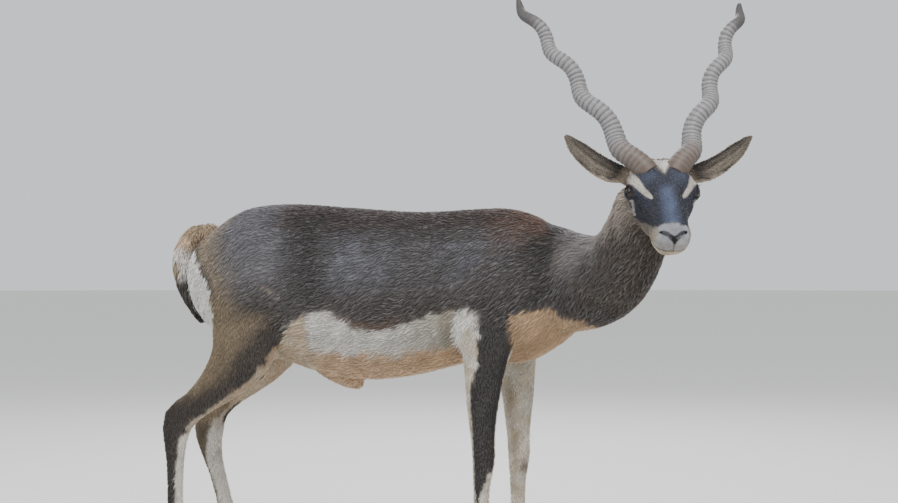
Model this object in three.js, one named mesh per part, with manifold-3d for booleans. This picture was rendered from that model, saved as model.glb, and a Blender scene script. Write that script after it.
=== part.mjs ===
// A male blackbuck, standing, life size. Millimetres, +X to its front, +Y to its left, +Z up.
// It stands square with its neck and head turned to its right, and its left hind foot forward.
// Lengthwise and sideways places are measured from a point under the middle of the barrel.
import * as THREE from 'three';
import { mergeVertices } from 'three/addons/utils/BufferGeometryUtils.js';
import Module from 'manifold-3d';

const wasm = await Module();
wasm.setup();

const { Vector3, Matrix4, MathUtils } = THREE;

// Driving sizes
const GAP = 0.35;
const RIGHT = -1;
const LEFT = 1;
const SIDES = { right: RIGHT, left: LEFT };

const TURN_OF_HEAD = -66;
const PITCH_OF_FACE = 48;
const ROLL_OF_HEAD = 1;
const HORN_BASES = new Vector3(495, -224, 850);

const EYE = { along: 36, out: 52, up: -33, radius: 16 };
const EAR_LENGTH = 160;
const HORN_RADIUS = 23;
const HOOF_LENGTH = 56;
const HOOF_HEIGHT = 30;

// Colours of the nodes
const COAT = 0x5b5249;
const COLOURS = {
  torso: 0x524a43,
  neck: 0x5f5142,
  head: 0x2c2c31,
  nose: 0x1c1a1b,
  tail: 0xcfc7ba,
  leg: COAT,
  ear: 0x8a8072,
  eye: 0x120d0b,
  horn: 0x6d6157,
  hoof: 0x1d1a18,
  dewclaw: 0x26211e,
};
const ROUGHNESS = { eye: 0.08, nose: 0.4, horn: 0.6, hoof: 0.5, dewclaw: 0.6 };
const COAT_ROUGHNESS = 0.9;

// Small helpers
const signedPower = (value, power) => Math.sign(value) * Math.abs(value) ** power;

function catmull(a, b, c, d, t) {
  const bend = 2 * a - 5 * b + 4 * c - d;
  const swing = 3 * b - a - 3 * c + d;
  return 0.5 * (2 * b + (c - a) * t + bend * t * t + swing * t * t * t);
}

// A smooth run through a few stations, each a row of named numbers
function smooth(stations, perSpan) {
  const last = stations.length - 1;
  const rows = [];
  for (let i = 0; i < last; i += 1) {
    const near = [i - 1, i, i + 1, i + 2].map((k) => stations[MathUtils.clamp(k, 0, last)]);
    for (let step = 0; step < perSpan; step += 1) {
      const row = {};
      for (const name of Object.keys(stations[0])) {
        row[name] = catmull(...near.map((station) => station[name]), step / perSpan);
      }
      rows.push(row);
    }
  }
  rows.push({ ...stations[last] });
  return rows;
}

// How far the bumps (each a soft swelling or hollow) push a point out
function rise(point, bumps) {
  let total = 0;
  for (const bump of bumps) {
    const dx = (point.x - bump.x) / bump.reach[0];
    const dy = (point.y - bump.y) / bump.reach[1];
    const dz = (point.z - bump.z) / bump.reach[2];
    total += bump.rise * Math.exp(-0.5 * (dx * dx + dy * dy + dz * dz));
  }
  return total;
}

const onBothSides = (bumps) => bumps.flatMap((bump) => [bump, { ...bump, y: -bump.y }]);

// One ring of points round a station: w across, a towards the hint, b away from it
function ringPoints(place, station, shrink, sides, section) {
  const points = [];
  for (let j = 0; j < sides; j += 1) {
    const [across, up] = section((2 * Math.PI * j) / sides, station);
    points.push(
      place.centre
        .clone()
        .addScaledVector(place.across, across * shrink)
        .addScaledVector(place.up, up * shrink),
    );
  }
  return points;
}

const roundSection = (power) => (angle, station) => [
  station.w * signedPower(Math.cos(angle), 2 / power),
  (Math.sin(angle) > 0 ? station.a : station.b) * signedPower(Math.sin(angle), 2 / power),
];

// A closed body through the stations, with rounded ends of the given lengths
function loft(stations, { hint, sides, power = 2, ends = [0, 0], endRings = 2, bumps = [], section }) {
  const shape = section ?? roundSection(power);
  const centres = stations.map((s) => new Vector3(s.x, s.y, s.z));
  const last = centres.length - 1;
  const places = centres.map((centre, i) => {
    const before = centres[Math.max(i - 1, 0)];
    const after = centres[Math.min(i + 1, last)];
    const along = after.clone().sub(before).normalize();
    const up = hint.clone().addScaledVector(along, -hint.dot(along)).normalize();
    return { centre, along, up, across: new Vector3().crossVectors(up, along) };
  });

  const rings = places.map((place, i) => ringPoints(place, stations[i], 1, sides, shape));
  const poles = [];
  for (const [end, index, outward] of [[0, 0, -1], [1, last, 1]]) {
    const place = places[index];
    for (let k = 1; k <= endRings; k += 1) {
      const angle = ((k / (endRings + 1)) * Math.PI) / 2;
      const reach = outward * ends[end] * Math.sin(angle);
      const moved = { ...place, centre: place.centre.clone().addScaledVector(place.along, reach) };
      const ring = ringPoints(moved, stations[index], Math.cos(angle), sides, shape);
      if (end === 0) rings.unshift(ring);
      else rings.push(ring);
    }
    poles.push(place.centre.clone().addScaledVector(place.along, outward * ends[end]));
  }

  const positions = [];
  rings.forEach((ring) => {
    const middle = ring.reduce((sum, p) => sum.add(p), new Vector3()).divideScalar(sides);
    ring.forEach((p) => {
      const outward = p.clone().sub(middle).normalize();
      p.addScaledVector(outward, rise(p, bumps));
      positions.push(p.x, p.y, p.z);
    });
  });
  poles.forEach((p) => positions.push(p.x, p.y, p.z));

  const index = [];
  const at = (ring, j) => ring * sides + (j % sides);
  for (let i = 0; i < rings.length - 1; i += 1) {
    for (let j = 0; j < sides; j += 1) {
      index.push(at(i, j), at(i, j + 1), at(i + 1, j));
      index.push(at(i + 1, j), at(i, j + 1), at(i + 1, j + 1));
    }
  }
  const startPole = rings.length * sides;
  const endPole = startPole + 1;
  for (let j = 0; j < sides; j += 1) {
    index.push(startPole, at(0, j + 1), at(0, j));
    index.push(endPole, at(rings.length - 1, j), at(rings.length - 1, j + 1));
  }
  return geometryOf(positions, index);
}

function geometryOf(positions, index) {
  const geometry = new THREE.BufferGeometry();
  geometry.setAttribute('position', new THREE.Float32BufferAttribute(positions, 3));
  geometry.setIndex(index);
  geometry.computeVertexNormals();
  return geometry;
}

// Joining and cutting
function welded(geometry) {
  const bare = geometry.clone();
  bare.deleteAttribute('normal');
  bare.deleteAttribute('uv');
  return mergeVertices(bare);
}

function solidOf(geometry) {
  const merged = welded(geometry);
  return new wasm.Manifold(
    new wasm.Mesh({
      numProp: 3,
      vertProperties: Float32Array.from(merged.attributes.position.array),
      triVerts: Uint32Array.from(merged.index.array),
    }),
  );
}

// The same body with its skin moved out by the gap
function grown(geometry) {
  const merged = welded(geometry);
  merged.computeVertexNormals();
  const { position, normal } = merged.attributes;
  for (let i = 0; i < position.count; i += 1) {
    position.setXYZ(
      i,
      position.getX(i) + GAP * normal.getX(i),
      position.getY(i) + GAP * normal.getY(i),
      position.getZ(i) + GAP * normal.getZ(i),
    );
  }
  return solidOf(merged);
}

function largest(solid) {
  return solid.decompose().reduce((best, piece) => (piece.volume() > best.volume() ? piece : best));
}

function shapeOf(solid) {
  const mesh = largest(solid).getMesh();
  return geometryOf(Array.from(mesh.vertProperties), Array.from(mesh.triVerts));
}

function cut(geometry, ...others) {
  return shapeOf(others.reduce((body, other) => body.subtract(grown(other)), solidOf(geometry)));
}

// The nodes
const model = new THREE.Group();

function addNode(name, kind, geometry) {
  const material = new THREE.MeshStandardMaterial({
    name: kind,
    color: COLOURS[kind],
    roughness: ROUGHNESS[kind] ?? COAT_ROUGHNESS,
    metalness: 0,
  });
  const mesh = new THREE.Mesh(geometry, material);
  mesh.name = name;
  model.add(mesh);
}

const UP = new Vector3(0, 0, 1);
const FORE = new Vector3(1, 0, 0);

// The barrel from the buttocks to the breast: x, level of the widest line, height above, depth below
function torso() {
  const stations = smooth(
    [
      { x: -580, y: 0, z: 688, w: 44, a: 62, b: 66 },
      { x: -545, y: 0, z: 672, w: 82, a: 108, b: 108 },
      { x: -490, y: 0, z: 655, w: 112, a: 146, b: 145 },
      { x: -410, y: 0, z: 640, w: 122, a: 166, b: 165 },
      { x: -330, y: 0, z: 630, w: 122, a: 174, b: 170 },
      { x: -240, y: 0, z: 612, w: 132, a: 184, b: 178 },
      { x: -150, y: 0, z: 602, w: 141, a: 186, b: 174 },
      { x: -60, y: 0, z: 602, w: 140, a: 181, b: 158 },
      { x: 20, y: 0, z: 608, w: 130, a: 177, b: 142 },
      { x: 90, y: 0, z: 612, w: 116, a: 176, b: 142 },
      { x: 150, y: 0, z: 614, w: 108, a: 172, b: 144 },
      { x: 205, y: 0, z: 618, w: 98, a: 150, b: 128 },
      { x: 255, y: 0, z: 618, w: 72, a: 96, b: 100 },
      { x: 290, y: 0, z: 616, w: 48, a: 56, b: 68 },
    ],
    2,
  );
  const bumps = onBothSides([
    { x: 150, y: 110, z: 600, reach: [52, 40, 62], rise: 15 },
    { x: 118, y: 92, z: 700, reach: [45, 40, 60], rise: 7 },
    { x: -425, y: 118, z: 650, reach: [75, 45, 85], rise: 14 },
    { x: -335, y: 80, z: 775, reach: [24, 22, 18], rise: 7 },
    { x: -572, y: 50, z: 690, reach: [26, 24, 34], rise: 7 },
    { x: -262, y: 128, z: 645, reach: [32, 40, 62], rise: -10 },
    { x: 55, y: 120, z: 640, reach: [24, 40, 80], rise: -5 },
  ]);
  const barrel = loft(stations, { hint: UP, sides: 28, power: 2.15, ends: [14, 34], bumps });

  const sheath = loft(
    smooth(
      [
        { x: -290, y: 0, z: 448, w: 20, a: 20, b: 12 },
        { x: -240, y: 0, z: 432, w: 22, a: 24, b: 20 },
        { x: -205, y: 0, z: 420, w: 13, a: 16, b: 15 },
      ],
      2,
    ),
    { hint: UP, sides: 10, ends: [14, 14], endRings: 1 },
  );
  const scrotum = loft(
    [
      { x: -438, y: 0, z: 500, w: 24, a: 22, b: 20 },
      { x: -442, y: 0, z: 465, w: 33, a: 26, b: 24 },
      { x: -446, y: 0, z: 436, w: 28, a: 22, b: 21 },
    ],
    { hint: FORE, sides: 10, ends: [16, 20], endRings: 1 },
  );
  return shapeOf(solidOf(barrel).add(solidOf(sheath)).add(solidOf(scrotum)));
}

// The neck leaves the shoulders forwards and bends to the right, up to the back of the head
function neck() {
  const stations = smooth(
    [
      { x: 130, y: 0, z: 664, w: 74, a: 112, b: 112 },
      { x: 205, y: -2, z: 652, w: 86, a: 106, b: 118 },
      { x: 285, y: -22, z: 641, w: 84, a: 92, b: 106 },
      { x: 355, y: -72, z: 651, w: 72, a: 80, b: 90 },
      { x: 404, y: -124, z: 686, w: 64, a: 71, b: 76 },
      { x: 438, y: -168, z: 736, w: 58, a: 64, b: 62 },
      { x: 458, y: -196, z: 786, w: 52, a: 54, b: 50 },
    ],
    3,
  );
  return loft(stations, { hint: new Vector3(-0.5, 0.4, 0.8), sides: 24, ends: [18, 16] });
}

// Places on the head: x down the face, y to its left, z out of the forehead, from the horn bases
const headMatrix = new Matrix4()
  .makeTranslation(HORN_BASES.x, HORN_BASES.y, HORN_BASES.z)
  .multiply(new Matrix4().makeRotationZ(MathUtils.degToRad(TURN_OF_HEAD)))
  .multiply(new Matrix4().makeRotationY(MathUtils.degToRad(PITCH_OF_FACE)))
  .multiply(new Matrix4().makeRotationX(MathUtils.degToRad(ROLL_OF_HEAD)));
const onHead = (x, y, z) => new Vector3(x, y, z).applyMatrix4(headMatrix);

// A ball squeezed to three half sizes, turned and set at a place on the head
function pebble(place, halfSizes, turns = [0, 0, 0], detail = [13, 9]) {
  const ball = new THREE.SphereGeometry(1, ...detail);
  ball.scale(...halfSizes);
  ball.rotateX(MathUtils.degToRad(turns[0]));
  ball.rotateY(MathUtils.degToRad(turns[1]));
  ball.rotateZ(MathUtils.degToRad(turns[2]));
  ball.translate(...place);
  return ball;
}

const eyePlace = (side) => [EYE.along, side * EYE.out, EYE.up];

// A lid is a shell over the eyeball, open in an almond that looks out and a little forwards
function lids(side) {
  const shell = solidOf(pebble(eyePlace(side), [EYE.radius + 3, EYE.radius + 3, EYE.radius + 3]));
  const opening = pebble(
    [EYE.along + 4, side * (EYE.out + EYE.radius), EYE.up],
    [14.5, 14, 10],
    [0, 8, -side * 20],
  );
  return shell.subtract(solidOf(opening));
}

function skull(thinner = 0) {
  const rows = [
    { x: -46, z: -44, w: 36, a: 24, b: 34 },
    { x: -30, z: -45, w: 45, a: 36, b: 48 },
    { x: -8, z: -45, w: 50, a: 45, b: 56 },
    { x: 16, z: -45, w: 54, a: 47, b: 59 },
    { x: 38, z: -44, w: 56, a: 47, b: 56 },
    { x: 58, z: -43, w: 51, a: 45, b: 52 },
    { x: 80, z: -41, w: 43, a: 41, b: 48 },
    { x: 102, z: -38, w: 36, a: 37, b: 45 },
    { x: 124, z: -37, w: 33, a: 33, b: 42 },
    { x: 145, z: -38, w: 34, a: 30, b: 42 },
    { x: 161, z: -43, w: 27, a: 24, b: 38 },
  ].map((row) => ({
    x: row.x,
    y: 0,
    z: row.z,
    w: row.w - thinner,
    a: row.a - thinner,
    b: row.b - thinner,
  }));
  const bumps = onBothSides([
    { x: 30, y: 48, z: -14, reach: [17, 12, 12], rise: 7 },
    { x: 37, y: 54, z: -36, reach: [22, 16, 22], rise: 5 },
    { x: 62, y: 44, z: -54, reach: [18, 12, 8], rise: 4 },
    { x: 64, y: 42, z: -32, reach: [8, 10, 5], rise: -3 },
    { x: 14, y: 50, z: -72, reach: [20, 14, 18], rise: 4 },
    { x: 90, y: 34, z: -54, reach: [14, 12, 9], rise: -3 },
    { x: 142, y: 28, z: -36, reach: [13, 12, 8], rise: 3 },
    { x: 152, y: 14, z: -58, reach: [9, 10, 6], rise: 2 },
    { x: -2, y: 30, z: 2, reach: [15, 14, 12], rise: 5 },
    { x: -40, y: 7, z: -18, reach: [20, 15, 18], rise: -7 },
    { x: -8, y: 50, z: -46, reach: [16, 12, 16], rise: 5 },
    { x: 98, y: 26, z: -74, reach: [26, 12, 12], rise: 6 },
    { x: 58, y: 34, z: -84, reach: [26, 14, 14], rise: 6 },
  ]);
  return loft(smooth(rows, 2), {
    hint: UP,
    sides: 32,
    power: 2.25,
    ends: [12, 11],
    endRings: 2,
    bumps: thinner ? [] : bumps,
  });
}

// The mouth is a thin slot round the muzzle, cut no deeper than the lips
const LIP_DEPTH = 5;
function mouth() {
  const slab = loft(
    [
      { x: 108, y: 0, z: -58, w: 44, a: 0.4, b: 0.4 },
      { x: 122, y: 0, z: -54, w: 44, a: 1.1, b: 1.1 },
      { x: 145, y: 0, z: -50, w: 44, a: 1.2, b: 1.2 },
      { x: 178, y: 0, z: -48, w: 44, a: 1.2, b: 1.2 },
    ],
    { hint: UP, sides: 8, power: 6, ends: [3, 3], endRings: 1 },
  );
  return solidOf(slab).subtract(solidOf(skull(LIP_DEPTH)));
}

function nose() {
  const pad = pebble([155, 0, -24], [16, 21, 13], [0, 30, 0], [16, 10]);
  return [RIGHT, LEFT].reduce((body, side) => body.subtract(nostril(side)), solidOf(pad));
}

function nostril(side) {
  return solidOf(pebble([168, side * 13, -21], [7, 3, 5], [side * 24, 20, side * 32], [8, 6]));
}

function head(noseShape) {
  let body = solidOf(skull());
  for (const side of [RIGHT, LEFT]) {
    body = body.add(lids(side));
  }
  body = body.subtract(mouth()).subtract(grown(noseShape));
  for (const side of [RIGHT, LEFT]) {
    const socket = EYE.radius + GAP;
    body = body.subtract(solidOf(pebble(eyePlace(side), [socket, socket, socket], [90, 0, 0])));
    body = body.subtract(nostril(side));
  }
  return shapeOf(body);
}

// An ear is a leaf, cupped towards the front: t is half its thickness, cup how deep it is hollowed
const cupSection = (angle, station) => [
  station.w * Math.cos(angle),
  station.t * Math.sin(angle) + station.cup * Math.cos(angle) ** 2,
];

function ear(side) {
  const start = onHead(-23, side * 42, -57);
  const tip = start.clone().add(EAR_REACH[side]);
  const row = (t, w, thick, cup, bow) => {
    const p = start.clone().lerp(tip, t).addScaledVector(UP, bow);
    return { x: p.x, y: p.y, z: p.z, w, t: thick, cup };
  };
  const stations = smooth(
    [
      row(0, 15, 11, 0, 0),
      row(0.16, 18, 8, 5, -6),
      row(0.34, 23, 5, 10, -15),
      row(0.55, 25, 3.6, 11, -19),
      row(0.76, 23, 3, 9, -15),
      row(0.91, 15, 2.4, 5, -8),
      row(0.985, 8, 1.8, 1, -3),
    ],
    2,
  );
  return loft(stations, { hint: EAR_FACE, sides: 14, section: cupSection, ends: [6, 3], endRings: 1 });
}

// From its root each ear points out, up and a little back
const headAcross = new Vector3().setFromMatrixColumn(headMatrix, 1).setZ(0).normalize();
const headBack = new Vector3().crossVectors(headAcross, UP).negate();
const EAR_OUT = { [RIGHT]: 0.82, [LEFT]: 0.91 };
const EAR_REACH = {};
for (const side of [RIGHT, LEFT]) {
  const out = headAcross.clone().multiplyScalar(side * EAR_OUT[side] * EAR_LENGTH);
  EAR_REACH[side] = out.addScaledVector(UP, 0.56 * EAR_LENGTH).addScaledVector(headBack, 0.08 * EAR_LENGTH);
}
const EAR_FACE = headBack.clone().negate().addScaledVector(UP, -0.25).normalize();

// A horn winds round a line that leans out and back, and carries rings on its lower four fifths
const HORN_REACH = {
  [RIGHT]: { out: 214, back: 215, up: 350, bow: 8 },
  [LEFT]: { out: 172, back: 190, up: 340, bow: 6 },
};
const HORN_RINGS = 30;
const HORN_STEPS_PER_RING = 2;
const RINGED_PART = 0.8;
const HORN_WIND = 8;

// Radius of the horn from its base (0) to its tip (1)
function hornRadius(t) {
  const shaft = HORN_RADIUS - 11 * Math.min(t / 0.85, 1) ** 0.5;
  const taper = 0.82;
  return t > taper ? shaft * Math.sqrt(Math.max(1 - ((t - taper) / (1.01 - taper)) ** 2, 0.02)) : shaft;
}

// Whole turns made by the horn up to t: its coils draw closer together towards the tip
function hornTurns(t) {
  const past = t - 0.175;
  return 3.2 * past + 0.8 * past * past;
}

function horn(side) {
  const reach = HORN_REACH[side];
  const base = onHead(-6, side * 31, -14);
  const axis = headAcross
    .clone()
    .multiplyScalar(side * reach.out)
    .addScaledVector(headBack, reach.back)
    .addScaledVector(UP, reach.up);
  const outwards = headAcross.clone().multiplyScalar(side);
  outwards.addScaledVector(axis, -outwards.dot(axis) / axis.lengthSq()).normalize();
  const backwards = headBack.clone().addScaledVector(axis, -headBack.dot(axis) / axis.lengthSq());
  backwards.addScaledVector(outwards, -backwards.dot(outwards)).normalize();
  const steps = Math.round(HORN_RINGS / RINGED_PART) * HORN_STEPS_PER_RING;
  const stations = [];
  for (let i = 0; i <= steps; i += 1) {
    const t = i / steps;
    const turn = 2 * Math.PI * hornTurns(t);
    const wind = HORN_WIND * Math.min(t / 0.12, 1) * (1 - 0.25 * t);
    const bow = reach.bow * 10 * t * (1 - t) ** 3.5;
    const p = base
      .clone()
      .addScaledVector(axis, t)
      .addScaledVector(outwards, bow - wind * Math.sin(turn))
      .addScaledVector(backwards, wind * Math.cos(turn));
    const ridge = t < RINGED_PART && i % HORN_STEPS_PER_RING === 0 ? 0.9 : 0;
    const r = hornRadius(t) + ridge;
    stations.push({ x: p.x, y: p.y, z: p.z, w: r, a: r, b: r });
  }
  return loft(stations, { hint: headBack.clone().negate(), sides: 8, ends: [4, 2], endRings: 1 });
}

// Legs: stations from the body down, half lengths a before and b behind the line, half width w
const FORE_PROFILE = [
  { y: 62, w: 40, a: 74, b: 82 },
  { y: 74, w: 44, a: 64, b: 70 },
  { y: 82, w: 38, a: 54, b: 58 },
  { y: 85, w: 32, a: 44, b: 42 },
  { y: 85, w: 26, a: 36, b: 33 },
  { y: 84, w: 22, a: 27, b: 26 },
  { y: 83, w: 22, a: 25, b: 24 },
  { y: 82, w: 20, a: 21, b: 22 },
  { y: 81, w: 16, a: 17, b: 18 },
  { y: 80, w: 15, a: 16, b: 17 },
  { y: 80, w: 19, a: 19, b: 22 },
  { y: 80, w: 18, a: 17, b: 17 },
  { y: 80, w: 20.5, a: 18, b: 20 },
];
const HIND_PROFILE = [
  { y: 56, w: 50, a: 96, b: 96 },
  { y: 70, w: 58, a: 104, b: 104 },
  { y: 80, w: 54, a: 92, b: 84 },
  { y: 86, w: 44, a: 70, b: 66 },
  { y: 87, w: 33, a: 46, b: 44 },
  { y: 86, w: 26, a: 33, b: 33 },
  { y: 85, w: 25, a: 35, b: 38 },
  { y: 84, w: 21, a: 27, b: 27 },
  { y: 83, w: 17, a: 20, b: 20 },
  { y: 82, w: 16, a: 19, b: 19 },
  { y: 80, w: 19, a: 20, b: 23 },
  { y: 80, w: 18, a: 18, b: 17 },
  { y: 80, w: 20.5, a: 18, b: 20 },
];

// Fetlock, pastern and top of the hoof, before and above the point under the fetlock
const FOOT_LINE = [[0, 92], [14, 62], [30, 30]];

const LEG_LINES = {
  front_right: {
    upper: [[130, 650], [121, 575], [112, 512], [105, 455], [101, 392], [102, 330], [104, 285], [102, 254], [99, 215]],
    shank: [98, 130],
    foot: 97,
  },
  front_left: {
    upper: [[130, 650], [122, 575], [117, 512], [119, 455], [122, 388], [124, 326], [126, 278], [126, 248], [125, 210]],
    shank: [125, 130],
    foot: 125,
  },
  hind_right: {
    upper: [[-440, 680], [-435, 602], [-430, 534], [-448, 470], [-497, 414], [-550, 371], [-591, 335], [-600, 288], [-601, 236]],
    shank: [-601, 150],
    foot: -600,
  },
  hind_left: {
    upper: [[-440, 680], [-440, 600], [-452, 528], [-500, 458], [-560, 396], [-597, 346], [-611, 302], [-607, 256], [-592, 208]],
    shank: [-572, 144],
    foot: -556,
  },
};

function leg(name, side) {
  const line = LEG_LINES[name];
  const profile = name.startsWith('front') ? FORE_PROFILE : HIND_PROFILE;
  const foot = FOOT_LINE.map(([before, up]) => [line.foot + before, up]);
  const points = [...line.upper, line.shank, ...foot];
  const stations = points.map(([x, z], i) => ({ ...profile[i], x, y: side * profile[i].y, z }));
  return loft(smooth(stations, 2), { hint: FORE, sides: 12, power: 2.1, ends: [20, 5] });
}

// A hoof is one pointed toe of two: flat below, sloping in front, lower at its heel
const HOOF_TOE = 61;
const HOOF_HALF_WIDTH = 10;
const HOOF_LEVELS = [0, 0.1, 0.5, 1];
const HOOF_STEPS = 6;

// A place on the outer face, from the toe (0) to the heel (1) and from the sole (0) to the top (1)
function hoofPlace(t, level) {
  const front = HOOF_TOE - 20 * level;
  const length = HOOF_LENGTH * (1 - 0.3 * level);
  const width = Math.sin(Math.PI * Math.min(0.1 + 0.66 * t, 0.7)) * (level === 0 ? 0.9 : 1 - 0.1 * level);
  return [front - length * t, HOOF_HALF_WIDTH * width, HOOF_HEIGHT * level * MathUtils.lerp(1.15, 0.75, t)];
}

function hoof(footX, footY, which) {
  const middle = footY + which * (HOOF_HALF_WIDTH + 1.6);
  const ring = 2 * HOOF_STEPS;
  const positions = [];
  for (const level of HOOF_LEVELS) {
    for (let j = 0; j < ring; j += 1) {
      const onWayBack = j >= HOOF_STEPS;
      const t = onWayBack ? (ring - j - 0.5) / HOOF_STEPS : (j + 0.5) / HOOF_STEPS;
      const [x, y, z] = hoofPlace(t, level);
      positions.push(footX + x, middle + (onWayBack ? -y : y), z);
    }
  }
  const index = [];
  for (let i = 0; i < HOOF_LEVELS.length - 1; i += 1) {
    for (let j = 0; j < ring; j += 1) {
      const k = (j + 1) % ring;
      index.push(i * ring + j, i * ring + k, (i + 1) * ring + j);
      index.push((i + 1) * ring + j, i * ring + k, (i + 1) * ring + k);
    }
  }
  const top = (HOOF_LEVELS.length - 1) * ring;
  for (let j = 1; j < ring - 1; j += 1) {
    index.push(0, j + 1, j);
    index.push(top, top + j, top + j + 1);
  }
  return geometryOf(positions, index);
}

function dewclaw(footX, footY, which) {
  const stations = [
    { x: footX - 14, y: footY + which * 9, z: 80, w: 5, a: 5, b: 5 },
    { x: footX - 25, y: footY + which * 12, z: 74, w: 5.5, a: 5, b: 5 },
    { x: footX - 31, y: footY + which * 12, z: 63, w: 3.5, a: 3, b: 3 },
  ];
  return loft(stations, { hint: FORE, sides: 6, ends: [3, 4], endRings: 1 });
}

// The tail hangs against the buttocks, flat and wider than it is thick
function tail() {
  const stations = smooth(
    [
      { x: -556, y: 0, z: 752, w: 22, a: 14, b: 18 },
      { x: -600, y: 0, z: 742, w: 25, a: 17, b: 20 },
      { x: -630, y: 0, z: 704, w: 29, a: 17, b: 20 },
      { x: -632, y: 0, z: 655, w: 30, a: 16, b: 19 },
      { x: -614, y: 0, z: 602, w: 24, a: 14, b: 15 },
      { x: -588, y: 0, z: 556, w: 12, a: 8, b: 8 },
    ],
    3,
  );
  return loft(stations, { hint: new Vector3(-1, 0, 0.5), sides: 12, ends: [10, 14] });
}

// Putting it together: each piece is cut back by the ones it grows from
const torsoShape = torso();
const neckShape = cut(neck(), torsoShape);
const noseSolid = nose();
const noseShape = shapeOf(noseSolid);
const headLocal = head(noseShape);
noseShape.applyMatrix4(headMatrix);
const headShape = cut(headLocal.clone().applyMatrix4(headMatrix), neckShape);

addNode('torso', 'torso', torsoShape);
addNode('neck', 'neck', neckShape);
addNode('head', 'head', headShape);
addNode('nose', 'nose', noseShape);
addNode('tail', 'tail', cut(tail(), torsoShape));

for (const [word, side] of Object.entries(SIDES)) {
  const ball = pebble(eyePlace(side), [EYE.radius, EYE.radius, EYE.radius], [90, 0, 0]);
  addNode(`eye_${word}`, 'eye', welded(ball).applyMatrix4(headMatrix));
  const hornShape = cut(horn(side), headShape);
  addNode(`horn_${word}`, 'horn', hornShape);
  addNode(`ear_${word}`, 'ear', cut(ear(side), headShape, neckShape, hornShape));
  for (const end of ['front', 'hind']) {
    const name = `${end}_${word}`;
    const footX = LEG_LINES[name].foot;
    const footY = side * FORE_PROFILE.at(-1).y;
    const horny = [];
    for (const [which, toe] of [['outer', side], ['inner', -side]]) {
      const toeShape = hoof(footX, footY, toe);
      const clawShape = dewclaw(footX, footY, toe);
      addNode(`hoof_${name}_${which}`, 'hoof', toeShape);
      addNode(`dewclaw_${name}_${which}`, 'dewclaw', clawShape);
      horny.push(toeShape, clawShape);
    }
    addNode(`leg_${name}`, 'leg', cut(leg(name, side), torsoShape, ...horny));
  }
}

// The origin goes under the middle of the whole model, at the soles
const box = new THREE.Box3().setFromObject(model);
const centre = box.getCenter(new Vector3());
model.position.set(-centre.x, -centre.y, -box.min.z);
model.updateMatrixWorld(true);

export default model;
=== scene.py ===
"""The looks of a standing male blackbuck: one skin over the flesh, a short coat, horns, eyes and hooves."""

import math

import bpy
import numpy as np
from mathutils import Matrix, Vector
from mathutils.bvhtree import BVHTree


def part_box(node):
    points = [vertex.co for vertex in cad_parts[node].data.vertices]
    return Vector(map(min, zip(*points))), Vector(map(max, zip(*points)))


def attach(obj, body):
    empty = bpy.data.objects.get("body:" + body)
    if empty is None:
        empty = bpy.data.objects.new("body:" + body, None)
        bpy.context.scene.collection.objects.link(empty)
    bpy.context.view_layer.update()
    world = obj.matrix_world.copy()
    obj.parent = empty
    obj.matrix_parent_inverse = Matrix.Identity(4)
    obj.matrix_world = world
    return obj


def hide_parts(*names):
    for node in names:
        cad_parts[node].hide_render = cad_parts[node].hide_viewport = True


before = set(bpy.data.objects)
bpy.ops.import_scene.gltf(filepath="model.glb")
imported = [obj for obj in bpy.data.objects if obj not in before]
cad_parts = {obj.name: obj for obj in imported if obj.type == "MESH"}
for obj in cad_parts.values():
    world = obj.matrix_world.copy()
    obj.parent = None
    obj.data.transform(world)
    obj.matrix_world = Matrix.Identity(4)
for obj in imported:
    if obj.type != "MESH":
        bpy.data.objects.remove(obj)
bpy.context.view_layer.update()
scene = bpy.context.scene
rng = np.random.default_rng(11)

# Places on the animal: lengthwise and sideways from under the middle of its barrel, up from the floor
DOWN, BACK = np.array([0, 0, -1.0]), np.array([-1.0, 0, 0])
BREAST_FROM_ORIGIN = 0.324
torso_low, torso_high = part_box("torso")
ORIGIN = np.array([torso_high.x - BREAST_FROM_ORIGIN, (torso_low.y + torso_high.y) / 2, 0])

SIDES = {"right": -1, "left": 1}
LEGS = ["front_right", "front_left", "hind_right", "hind_left"]
EYE_RADIUS = 0.016
COAT_DEPTH = 0.0022


# Small helpers
def unit(v):
    return v / np.maximum(np.linalg.norm(v, axis=-1, keepdims=True), 1e-9)


def middle(node):
    low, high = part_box(node)
    return np.array((low + high) / 2)


def ease(start, end, value):
    """0 before start, 1 after end, and smooth between them."""
    t = np.clip((value - start) / (end - start), 0, 1)
    return t * t * (3 - 2 * t)


def bell(value, centre, width):
    return np.exp(-0.5 * ((value - centre) / width) ** 2)


def ripple(points, scale, seed):
    """A soft seeded noise from about -1 to 1, one wave length being scale metres."""
    draw = np.random.default_rng(seed)
    total = np.zeros(len(points))
    for _ in range(9):
        wave = unit(draw.normal(size=3)) * 2 * math.pi / (scale * draw.uniform(0.7, 1.5))
        total += np.sin(points @ wave + draw.uniform(0, 2 * math.pi))
    return total / 3


def paint(base, *coats):
    """Lays each (colour, amount) over the last."""
    for colour, amount in coats:
        base = base + (np.asarray(colour) - base) * np.clip(amount, 0, 1)[:, None]
    return base


def plain(colour, places):
    return np.tile(colour, (len(places), 1))


def tone(red, green, blue):
    """A colour given as 0 to 255, as light."""
    c = np.array([red, green, blue]) / 255
    return np.where(c <= 0.04045, c / 12.92, ((c + 0.055) / 1.055) ** 2.4)


def line_at(points, value):
    """A curve through a few (value, height) places."""
    xs, ys = zip(*sorted(points))
    return np.interp(value, xs, ys)


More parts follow.
